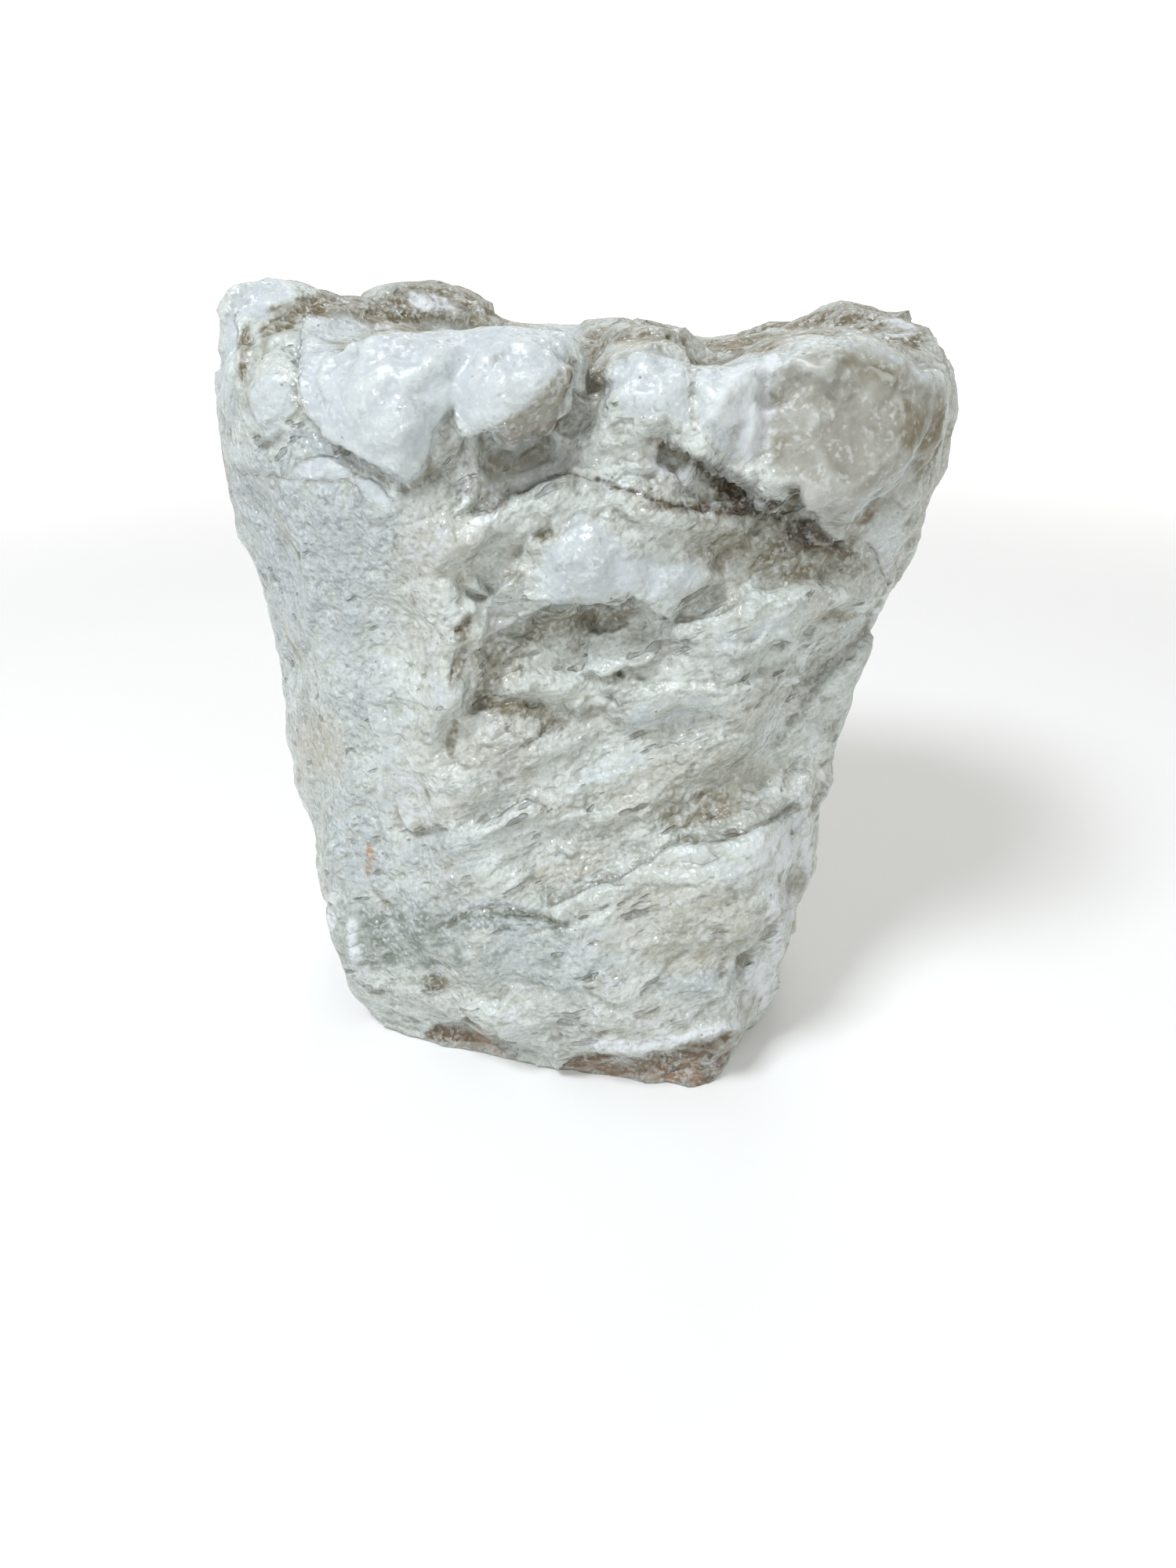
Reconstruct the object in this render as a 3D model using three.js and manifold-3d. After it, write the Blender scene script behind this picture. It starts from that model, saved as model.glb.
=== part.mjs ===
// A rough block of alabaster, as broken from the bed: one solid stone that stands on a flat foot.
// Millimetres. +X is the block's right, -Y its front, +Z up. The origin is under the middle of its box.
import * as THREE from "three";
import { ImprovedNoise } from "three/addons/math/ImprovedNoise.js";
import { mergeVertices } from "three/addons/utils/BufferGeometryUtils.js";
import Module from "manifold-3d";

// ---- Driving dimensions ----
const TRIANGLE_RINGS = 21; // how finely the starting ball is divided
const FRONT_SHARE = 0.36; // draws more of the triangles to the weathered front
const CORE = { middle: new THREE.Vector3(-6, 0, 148), half: new THREE.Vector3(74, 34, 88) };
const REACH = 90; // no part of the stone is further than this from its core
const SLACK = 70; // from the core to the box that the triangles are spread over
const STRIDE = 2; // the surface is looked for from outside in strides of this length
const PRECISION = 0.01; // and then found this closely
const CORNER_ROUNDING = 13; // upright edges
const RIM_ROUNDING = 11; // where the sides meet the top
const FOOT_ROUNDING = 5; // where the sides meet the ground
const TOP_LEVEL = 283; // the top's mean height, between its knobs
const TOP_FALL = 0.05; // how steeply the top falls to the back
const FOOT_LEVEL = 1; // the foot is sawn flat at this height
const SPARE = 10; // how much stone is left under that height before it is sawn

// Plan outlines of the block at rising heights, each through the same twelve corners, from the left
// end round by the front: left, left front, arris, middle, right of middle, right front, right,
// right back, back right, back, back left and left back.
const COURSES = [
  { z: -4, plan: [[-106, -14], [-93, -46], [-36, -74], [10, -85], [50, -92], [65, -62],
    [86, -15], [76, 40], [45, 70], [-15, 78], [-75, 64], [-102, 28]] },
  { z: 26, plan: [[-115, -12], [-105, -52], [-36, -90], [10, -96], [57, -94], [76, -64],
    [89, -15], [84, 46], [52, 80], [-15, 88], [-84, 76], [-115, 32]] },
  { z: 95, plan: [[-126, -10], [-103, -56], [-60, -84], [5, -93], [62, -89], [88, -62],
    [95, -10], [91, 50], [56, 86], [-15, 94], [-88, 80], [-121, 32]] },
  { z: 150, plan: [[-128, -10], [-93, -62], [-50, -90], [5, -80], [60, -76], [98, -48],
    [109, -8], [99, 54], [62, 90], [-15, 97], [-92, 80], [-126, 32]] },
  { z: 208, plan: [[-133, -12], [-102, -62], [-52, -88], [5, -84], [62, -76], [111, -50],
    [124, -12], [111, 52], [68, 86], [-15, 92], [-94, 76], [-130, 30]] },
  { z: 262, plan: [[-139, -14], [-114, -62], [-64, -92], [5, -88], [70, -90], [121, -58],
    [135, -20], [124, 46], [76, 80], [-15, 86], [-98, 72], [-133, 28]] },
  { z: 310, plan: [[-130, -14], [-108, -58], [-64, -88], [5, -84], [70, -86], [114, -56],
    [128, -20], [118, 42], [76, 74], [-15, 80], [-94, 68], [-126, 26]] },
];

// Swellings and hollows. size is the half extent along X, Y and Z, turn rolls it in the front view
// (degrees, anticlockwise), rise is how far it stands out (below 0: sinks in), and crisp from 0
// (melts into its surroundings) to 1 (a pebble with a crease round it).
const MELTING = 2;
const CRISPING = 1.4;
const SWELLINGS = [
  // nodules along the top of the front
  { name: "corner knob", at: [-110, -8, 290], size: [28, 34, 30], turn: 20, rise: 28, crisp: 0.4 },
  { name: "corner nodule", at: [-100, -62, 278], size: [12, 30, 20], turn: 0, rise: 4, crisp: 0.8 },
  { name: "great white nodule", at: [-65, -92, 278], size: [24, 30, 24], turn: 0, rise: 5, crisp: 0.6 },
  { name: "white point", at: [-59, -92, 262], size: [14, 30, 18], turn: 0, rise: 3, crisp: 0.3 },
  { name: "overhanging nodule", at: [-21, -92, 281], size: [22, 34, 17], turn: 24, rise: 10, crisp: 0.8 },
  { name: "round nodule", at: [12, -90, 279], size: [14, 30, 17], turn: 0, rise: 6.5, crisp: 0.7 },
  { name: "white ribs", at: [38, -90, 271], size: [20, 30, 25], turn: 14, rise: 6, crisp: 0.7 },
  { name: "great boss", at: [84, -84, 265], size: [34, 42, 33], turn: 0, rise: 14, crisp: 0.6 },
  { name: "tip of the boss", at: [80, -90, 241], size: [14, 30, 13], turn: 0, rise: 4, crisp: 0.5 },
  // the face below them
  { name: "crest of the arris", at: [-49, -92, 188], size: [15, 30, 66], turn: -9, rise: 4, crisp: 0.2 },
  { name: "sugary band", at: [2, -86, 246], size: [30, 30, 10], turn: -4, rise: 4, crisp: 0.5 },
  { name: "clear lump", at: [0, -86, 226], size: [22, 30, 20], turn: -8, rise: 9, crisp: 0.6 },
  { name: "tail of the clear lump", at: [26, -82, 216], size: [20, 30, 15], turn: -14, rise: 5, crisp: 0.6 },
  { name: "pale slab", at: [60, -78, 199], size: [36, 30, 13], turn: 14, rise: 7, crisp: 0.6 },
  { name: "slab below it", at: [30, -82, 176], size: [44, 30, 13], turn: 12, rise: 4, crisp: 0.4 },
  { name: "middle slab", at: [34, -82, 150], size: [40, 30, 11], turn: 20, rise: 3, crisp: 0.5 },
  { name: "low slab", at: [60, -88, 100], size: [44, 30, 24], turn: 16, rise: 6, crisp: 0.6 },
  { name: "lower left bulge", at: [-96, -50, 66], size: [26, 40, 34], turn: 0, rise: 4, crisp: 0.2 },
  { name: "foot bulge", at: [8, -94, 40], size: [66, 30, 26], turn: 6, rise: 3, crisp: 0.3 },
  { name: "chalky edge", at: [73, -80, 75], size: [9, 30, 24], turn: 0, rise: 4, crisp: 0.5 },
  // hollows of the front
  { name: "undercut of the nodule", at: [-22, -92, 253], size: [17, 30, 10], turn: 24, rise: -10, crisp: 0.7 },
  { name: "cleft", at: [-3, -90, 275], size: [6, 30, 18], turn: -14, rise: -7, crisp: 0.5 },
  { name: "long recess", at: [42, -86, 247], size: [28, 30, 10], turn: -26, rise: -8, crisp: 0.5 },
  { name: "pit below the boss", at: [66, -86, 236], size: [18, 30, 10], turn: -14, rise: -9, crisp: 0.5 },
  { name: "warm recess", at: [46, -80, 226], size: [30, 30, 13], turn: 2, rise: -5, crisp: 0.5 },
  { name: "valley by the arris", at: [-25, -84, 221], size: [11, 30, 25], turn: -34, rise: -4, crisp: 0.4 },
  { name: "cave", at: [0, -84, 193], size: [26, 34, 12], turn: 18, rise: -9, crisp: 0.6 },
  { name: "upper slot", at: [-23, -84, 199], size: [13, 30, 17], turn: -44, rise: -5, crisp: 0.5 },
  { name: "middle slot", at: [-35, -84, 181], size: [12, 30, 16], turn: -18, rise: -7, crisp: 0.5 },
  { name: "lower slot", at: [-42, -86, 167], size: [10, 30, 12], turn: -50, rise: -5, crisp: 0.6 },
  { name: "slot below the slab", at: [-14, -84, 166], size: [26, 30, 8], turn: -10, rise: -6, crisp: 0.6 },
  { name: "pit of the arris", at: [-49, -90, 156], size: [9, 30, 12], turn: -12, rise: -5, crisp: 0.6 },
  { name: "brown dimple", at: [-34, -88, 210], size: [10, 30, 8], turn: 0, rise: -5, crisp: 0.6 },
  { name: "notch", at: [38, -80, 164], size: [14, 30, 6], turn: 6, rise: -4, crisp: 0.7 },
  { name: "scoop above the low slab", at: [56, -82, 133], size: [34, 30, 13], turn: 16, rise: -7, crisp: 0.6 },
  { name: "middle scoop", at: [-20, -86, 112], size: [30, 30, 17], turn: 14, rise: -4, crisp: 0.5 },
  { name: "left scoop", at: [-64, -84, 118], size: [15, 30, 18], turn: 0, rise: -5, crisp: 0.5 },
  { name: "chipped pit", at: [61, -88, 60], size: [10, 30, 11], turn: 0, rise: -5, crisp: 0.7 },
  // undersides at the foot
  { name: "left undercut", at: [-50, -84, 14], size: [34, 36, 14], turn: -14, rise: -10, crisp: 0.7 },
  { name: "right undercut", at: [24, -98, 10], size: [48, 30, 13], turn: 8, rise: -8, crisp: 0.7 },
  // knobs and dishes of the top
  { name: "rear left knob", at: [-68, 60, 282], size: [36, 30, 30], turn: 0, rise: 27, crisp: 0.5 },
  { name: "left rim", at: [-94, 34, 281], size: [34, 44, 28], turn: 0, rise: 17, crisp: 0.4 },
  { name: "middle knob", at: [19, -44, 284], size: [20, 26, 22], turn: 0, rise: 14, crisp: 0.5 },
  { name: "rear right knob", at: [104, 26, 277], size: [24, 34, 26], turn: 0, rise: 18, crisp: 0.8 },
  { name: "rear right shelf", at: [110, 2, 276], size: [25, 34, 23], turn: 0, rise: 16, crisp: 0.6 },
  { name: "rim, left of the front", at: [-48, -76, 292], size: [44, 22, 14], turn: 0, rise: 8, crisp: 0.3 },
  { name: "rim, right of the front", at: [88, -62, 286], size: [40, 26, 14], turn: 0, rise: 5, crisp: 0.3 },
  { name: "gap of the rim", at: [41, -66, 290], size: [13, 40, 14], turn: 0, rise: -9, crisp: 0.5 },
  { name: "dish of the top", at: [4, 18, 290], size: [62, 44, 40], turn: 0, rise: -14, crisp: 0.3 },
  { name: "gutter of the top", at: [52, 50, 290], size: [26, 46, 30], turn: 0, rise: -10, crisp: 0.4 },
  // the right side and the back
  { name: "right shoulder", at: [124, 10, 236], size: [30, 44, 40], turn: 0, rise: 5, crisp: 0.4 },
  { name: "right scoop", at: [108, 14, 158], size: [30, 34, 36], turn: 20, rise: -9, crisp: 0.5 },
  { name: "right rib", at: [116, 34, 196], size: [34, 24, 22], turn: -20, rise: 6, crisp: 0.6 },
  { name: "right low scoop", at: [92, 44, 96], size: [30, 36, 20], turn: 10, rise: -7, crisp: 0.5 },
  { name: "right foot", at: [94, -30, 80], size: [26, 50, 24], turn: 0, rise: 7, crisp: 0.5 },
  { name: "neck over the foot", at: [98, -24, 112], size: [26, 44, 12], turn: 0, rise: -4, crisp: 0.5 },
  { name: "back boss", at: [-52, 90, 222], size: [44, 34, 40], turn: 20, rise: 10, crisp: 0.6 },
  { name: "back nodule", at: [30, 92, 252], size: [28, 30, 26], turn: 0, rise: 9, crisp: 0.7 },
  { name: "second back nodule", at: [74, 76, 246], size: [26, 34, 28], turn: 0, rise: 8, crisp: 0.7 },
  { name: "back scoop", at: [26, 96, 164], size: [54, 34, 34], turn: 24, rise: -13, crisp: 0.6 },
  { name: "back slab", at: [-40, 96, 110], size: [54, 30, 30], turn: -14, rise: 8, crisp: 0.7 },
  { name: "low back slab", at: [44, 88, 76], size: [46, 34, 30], turn: 22, rise: 6, crisp: 0.7 },
  { name: "back notch", at: [-8, 96, 70], size: [20, 30, 30], turn: 40, rise: -7, crisp: 0.6 },
  { name: "back undercut", at: [-20, 92, 20], size: [60, 34, 20], turn: 6, rise: -9, crisp: 0.5 },
  { name: "left rear scoop", at: [-128, 36, 214], size: [30, 34, 36], turn: 0, rise: -7, crisp: 0.4 },
];

// Breaks along the bedding: the stone above the line stands out by over and the stone below it by
// under, each fading over its reach. Points are X and Z in the front or back view.
const LEDGES = [
  { name: "crease under the white nodules", side: -1, over: 1.5, under: -1.5, reach: 9,
    line: [[-90, 268], [-84, 265], [-75, 260], [-68, 254], [-60, 246], [-50, 254], [-44, 266]] },
  { name: "lip of the overhang", side: -1, over: 3, under: -6, reach: 12,
    line: [[-33, 258], [-26, 261], [-15, 263], [-8, 273], [-4, 287]] },
  { name: "crack across the face", side: -1, over: -4, under: 3, reach: 10,
    line: [[-42, 236], [-28, 240], [-15, 247], [-8, 251], [4, 249], [20, 243], [40, 239]] },
  { name: "lip of the ribs and the boss", side: -1, over: 3, under: -6, reach: 12,
    line: [[18, 265], [32, 259], [48, 249], [58, 243], [66, 242], [76, 231], [86, 231],
      [98, 241], [108, 256]] },
  { name: "roof of the cave", side: -1, over: 3, under: -5, reach: 11,
    line: [[-29, 202], [-16, 199], [-3, 200], [10, 207], [22, 200], [32, 195]] },
  { name: "pale ledge", side: -1, over: -3, under: 3, reach: 11,
    line: [[28, 199], [40, 201], [48, 205], [57, 212], [80, 216]] },
  { name: "second ledge", side: -1, over: 2, under: -3, reach: 10,
    line: [[56, 181], [69, 190], [79, 196], [98, 199]] },
  { name: "bedding break", side: -1, over: 2, under: -3, reach: 12,
    line: [[-20, 146], [8, 158], [30, 163], [56, 160], [84, 172]] },
  { name: "short ledge", side: -1, over: -3, under: 3, reach: 9,
    line: [[-41, 122], [-32, 127], [-22, 133], [-12, 131]] },
  { name: "low ledge", side: -1, over: -4, under: 4, reach: 14,
    line: [[-15, 89], [0, 97], [14, 104], [30, 116], [48, 117], [66, 124], [82, 131]] },
  { name: "foot ledge", side: -1, over: 2, under: -3, reach: 10,
    line: [[-66, 62], [-40, 52], [-8, 58], [24, 50], [54, 52]] },
  { name: "back ledge", side: 1, over: -4, under: 5, reach: 18,
    line: [[-86, 150], [-48, 136], [-10, 140], [30, 120], [70, 116]] },
  { name: "upper back ledge", side: 1, over: 5, under: -4, reach: 16,
    line: [[-90, 196], [-40, 180], [8, 200], [44, 222], [76, 218]] },
];
const LEDGE_EDGE = 4; // half the width over which a ledge turns from one level to the other
const LEDGE_ENDS = 3; // how much faster a ledge fades past its ends than beside its line
const LEDGE_DEPTH = 20; // the ledges' faces lie further than this from the stone's middle plane

// Waves of the broken surface: wavelength and height.
const UNDULATIONS = [[44, 4], [19, 2]];

// ---- The surface ----
const { clamp, degToRad, smoothstep } = THREE.MathUtils;
const perlin = new ImprovedNoise();

// Each corner is drawn in towards the stone's middle by the rounding, which distanceToStone adds back.
const courseHeights = COURSES.map((course) => course.z);
const courseCorners = COURSES.flatMap(({ plan }) => plan.flatMap(([x, y]) => {
  const share = 1 - CORNER_ROUNDING / Math.hypot(x, y);
  return [x * share, y * share];
}));
const numbersPerCourse = 2 * COURSES[0].plan.length;
const outlineCurve = new THREE.CubicInterpolant(
  courseHeights, courseCorners, numbersPerCourse, new Float64Array(numbersPerCourse));

/** The plan outline at height z, on smooth curves through the courses: x and y of each corner. */
function planAt(z) {
  return outlineCurve.evaluate(clamp(z, courseHeights[0], courseHeights.at(-1)));
}

/** Distance from a point of the plan to a closed outline, below 0 inside it. */
function distanceToOutline(x, y, outline) {
  let nearest = Infinity;
  let inside = false;
  for (let i = 0; i < outline.length; i += 2) {
    const [ax, ay] = [outline[i], outline[i + 1]];
    const next = (i + 2) % outline.length;
    const [bx, by] = [outline[next], outline[next + 1]];
    const [ex, ey] = [bx - ax, by - ay];
    const along = clamp(((x - ax) * ex + (y - ay) * ey) / (ex * ex + ey * ey), 0, 1);
    nearest = Math.min(nearest, Math.hypot(x - ax - ex * along, y - ay - ey * along));
    if (ay > y !== by > y && x < ax + ((y - ay) / (by - ay)) * ex) inside = !inside;
  }
  return inside ? -nearest : nearest;
}

/** The greater of two distances, with the edge between them rounded. */
function roundedMax(a, b, rounding) {
  const blend = Math.max(rounding - Math.abs(a - b), 0) / rounding;
  return Math.max(a, b) + (blend * blend * rounding) / 4;
}

/** How strongly a swelling acts at a point, from 0 to 1. */
function swellingShare({ at, size, turn, crisp }, p) {
  const angle = degToRad(turn);
  const [dx, dy, dz] = [p.x - at[0], p.y - at[1], p.z - at[2]];
  const along = (dx * Math.cos(angle) + dz * Math.sin(angle)) / size[0];
  const across = (dz * Math.cos(angle) - dx * Math.sin(angle)) / size[2];
  const inside = 1 - (along * along + across * across + (dy / size[1]) ** 2);
  return inside > 0 ? Math.pow(inside, MELTING - CRISPING * crisp) : 0;
}

/**
 * Where a point lies by a ledge's line: its distance from the line, above 0 over it and below 0
 * under it, and how far it is past the line's ends.
 */
function besideLine(x, z, line) {
  const found = { offset: Infinity, past: 0 };
  for (let i = 0; i + 1 < line.length; i++) {
    const [[ax, az], [bx, bz]] = [line[i], line[i + 1]];
    const [ex, ez] = [bx - ax, bz - az];
    const length = Math.hypot(ex, ez);
    const along = ((x - ax) * ex + (z - az) * ez) / length;
    const reached = clamp(along, 0, length);
    const gap = Math.hypot(x - ax - (ex * reached) / length, z - az - (ez * reached) / length);
    if (gap >= Math.abs(found.offset)) continue;
    const isOver = (z - az) * ex - (x - ax) * ez > 0;
    const isEnd = i === 0 ? along < 0 : false;
    const isOtherEnd = i + 2 === line.length ? along > length : false;
    found.offset = isOver ? gap : -gap;
    found.past = isEnd || isOtherEnd ? Math.abs(along - reached) : 0;
  }
  return found;
}

/** How far the ledges move the surface out at a point. */
function ledgeStep(p) {
  let out = 0;
  for (const { side, over, under, reach, line } of LEDGES) {
    if (p.y * side < LEDGE_DEPTH) continue;
    const { offset, past } = besideLine(p.x, p.z, line);
    const share = smoothstep(offset, -LEDGE_EDGE, LEDGE_EDGE);
    const fading = Math.exp((-Math.abs(offset) - LEDGE_ENDS * past) / reach);
    out += (under + (over - under) * share) * fading;
  }
  return out;
}

/** Distance to the stone's surface, below 0 inside it; near the surface it is close to true. */
function distanceToStone(p) {
  const sides = distanceToOutline(p.x, p.y, planAt(p.z)) - CORNER_ROUNDING;
  const top = p.z - TOP_LEVEL + TOP_FALL * p.y;
  let distance = roundedMax(sides, top, RIM_ROUNDING * 2);
  distance = roundedMax(distance, FOOT_LEVEL - SPARE - p.z, FOOT_ROUNDING * 2);
  for (const swelling of SWELLINGS) distance -= swelling.rise * swellingShare(swelling, p);
  for (const [wavelength, height] of UNDULATIONS)
    distance -= height * perlin.noise(p.x / wavelength, p.y / wavelength, p.z / wavelength);
  return distance - ledgeStep(p);
}

/** The point where a line from the core, straight out through target, leaves the stone. */
function surfacePoint(target) {
  const low = CORE.middle.clone().sub(CORE.half);
  const high = CORE.middle.clone().add(CORE.half);
  const start = target.clone().clamp(low, high);
  const heading = target.clone().sub(start).normalize();
  const pointAt = (reach) => start.clone().addScaledVector(heading, reach);
  let inner = REACH;
  while (inner > 0 && distanceToStone(pointAt(inner)) > 0) inner -= STRIDE;
  let outer = inner + STRIDE;
  while (outer - inner > PRECISION) {
    const middle = (inner + outer) / 2;
    if (distanceToStone(pointAt(middle)) > 0) outer = middle;
    else inner = middle;
  }
  return pointAt(inner);
}

/** The stone before its foot is cut: a finely divided ball, drawn in to the surface. */
function stoneGeometry() {
  const geometry = new THREE.IcosahedronGeometry(1, TRIANGLE_RINGS);
  geometry.deleteAttribute("normal");
  geometry.deleteAttribute("uv");
  const merged = mergeVertices(geometry);
  const positions = merged.getAttribute("position");
  const box = CORE.half.clone().addScalar(SLACK);
  for (let i = 0; i < positions.count; i++) {
    const heading = new THREE.Vector3().fromBufferAttribute(positions, i);
    heading.y -= FRONT_SHARE;
    heading.normalize();
    const share = Math.max(
      Math.abs(heading.x) / box.x, Math.abs(heading.y) / box.y, Math.abs(heading.z) / box.z);
    const target = heading.divideScalar(share).add(CORE.middle);
    positions.setXYZ(i, ...surfacePoint(target).toArray());
  }
  return merged;
}

// ---- The cut of the foot ----
const wasm = await Module();
wasm.setup();

/** A closed mesh as a solid that can be cut. */
function solidOf(geometry) {
  const source = geometry.clone();
  for (const name of ["normal", "uv"]) source.deleteAttribute(name);
  const merged = mergeVertices(source);
  return new wasm.Manifold(new wasm.Mesh({
    numProp: 3,
    vertProperties: new Float32Array(merged.getAttribute("position").array),
    triVerts: new Uint32Array(merged.index.array),
  }));
}

/** A solid's triangles as a geometry. */
function geometryOf(solid) {
  const mesh = solid.getMesh();
  const geometry = new THREE.BufferGeometry();
  geometry.setAttribute("position", new THREE.BufferAttribute(mesh.vertProperties, 3));
  geometry.setIndex(new THREE.BufferAttribute(mesh.triVerts, 1));
  geometry.computeVertexNormals();
  return geometry;
}

/** The stone with everything below the foot's level sawn off, and the foot at Z 0. */
function standingGeometry() {
  const stone = solidOf(stoneGeometry());
  const ground = new THREE.BoxGeometry(4 * REACH, 4 * REACH, REACH);
  ground.translate(0, 0, FOOT_LEVEL - REACH / 2);
  const geometry = geometryOf(stone.subtract(solidOf(ground)));
  geometry.computeBoundingBox();
  const middle = geometry.boundingBox.getCenter(new THREE.Vector3());
  return geometry.translate(-middle.x, -middle.y, -geometry.boundingBox.min.z);
}

const block = new THREE.Mesh(
  standingGeometry(),
  new THREE.MeshStandardMaterial({ color: 0xd9dad2, roughness: 0.45, metalness: 0 }),
);
block.name = "alabaster_block";

const part = new THREE.Group();
part.add(block);

export default part;
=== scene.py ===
"""The looks of a rough standing block of alabaster: its small forms, its stains, its painted shade and
light, and its studio.
"""

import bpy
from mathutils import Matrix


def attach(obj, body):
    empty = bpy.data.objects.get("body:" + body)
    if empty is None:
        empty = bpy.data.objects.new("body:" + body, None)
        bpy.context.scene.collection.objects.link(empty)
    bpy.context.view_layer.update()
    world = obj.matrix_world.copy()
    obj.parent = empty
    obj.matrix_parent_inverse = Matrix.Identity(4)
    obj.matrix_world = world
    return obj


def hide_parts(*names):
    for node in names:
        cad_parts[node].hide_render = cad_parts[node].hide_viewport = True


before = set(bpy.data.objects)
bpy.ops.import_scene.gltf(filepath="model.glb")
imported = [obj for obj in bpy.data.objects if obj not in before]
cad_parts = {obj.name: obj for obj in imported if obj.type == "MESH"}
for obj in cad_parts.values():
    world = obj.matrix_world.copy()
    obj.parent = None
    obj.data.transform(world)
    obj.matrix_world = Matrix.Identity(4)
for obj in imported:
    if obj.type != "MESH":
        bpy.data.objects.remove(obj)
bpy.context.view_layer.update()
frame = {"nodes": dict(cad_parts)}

import logging
import math
from dataclasses import asdict, dataclass, field
from enum import Enum
from itertools import product
from typing import Any

import bpy
import numpy as np

Point = tuple[float, float]
Span = tuple[float, float]
Triple = tuple[float, float, float]
Rise = tuple[float, ...]  # where a step starts and ends, and from what to what it goes
Line = tuple[Point, ...]
Colour = tuple[float, float, float, float]
Socket = bpy.types.NodeSocket

LOG = logging.getLogger("alabaster")
MM = 1000.0
FAR = 9.0  # past what is compared: metres of depth, widths of a grain, millimetres from a crack
EVERYWHERE: Span = (-1000.0, -999.0)  # a step that every height and every noise is past
SEAM_LAYERS = 3
SEAM_ROOM = 40.0  # how far apart two cracks of a layer lie where there is room, in view units
OVAL_MARGIN = 1.5  # how many times its radius an oval stain may reach
EDGE_MARGIN = 2.0  # how many times its edge or its width another stain may reach past its line
TINY = 1e-12  # keeps what is divided by away from nothing
TIE = 1e-6  # a run of a line has to be nearer than the runs before it by this, in view units


class Tone(Enum):
    """The stains and kinds of stone that show on the block, with patches of painted shade and painted
    light.
    """

    WHITE = "white"
    COOL = "cool"
    WARM = "warm"
    LILAC = "lilac"
    OLIVE = "olive"
    BROWN = "brown"
    CHALK = "chalk"
    RUST = "rust"
    GREEN = "green"
    SHADE = "shade"


SOFT_TONES = (Tone.COOL, Tone.WARM, Tone.LILAC, Tone.RUST, Tone.OLIVE, Tone.SHADE)


def paint(red: int, green: int, blue: int) -> Colour:
    """Turns a colour as a screen shows it into the plain light values that a shader takes.

    Args:
        red: 0 to 255.
        green: 0 to 255.
        blue: 0 to 255.

    Returns:
        The colour with its opacity.
    """
    # The curve of a standard screen.
    shown = np.array([red, green, blue]) / 255
    light = np.where(shown <= 0.04045, shown / 12.92, ((shown + 0.055) / 1.055) ** 2.4)
    return (float(light[0]), float(light[1]), float(light[2]), 1.0)


def soft_step(low: float, high: float, value: np.ndarray) -> np.ndarray:
    """Rises smoothly from 0 at low to 1 at high.

    Args:
        low: Where the rise starts.
        high: Where it ends; it may be below low, and the step then falls.
        value: What is measured.

    Returns:
        The step at each value.
    """
    share = np.clip((value - low) / (high - low), 0, 1)
    return share * share * (3 - 2 * share)


def between(ends: Span, share: np.ndarray) -> np.ndarray:
    """Goes from the first end to the second as the share goes from 0 to 1."""
    return ends[0] + (ends[1] - ends[0]) * share


@dataclass(frozen=True)
class Cloud:
    """A layer of noise: how wide its lumps are, in millimetres, where it is cut and how fine it goes."""

    size: float
    shift: float = 0.0
    octaves: int = 1


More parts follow.
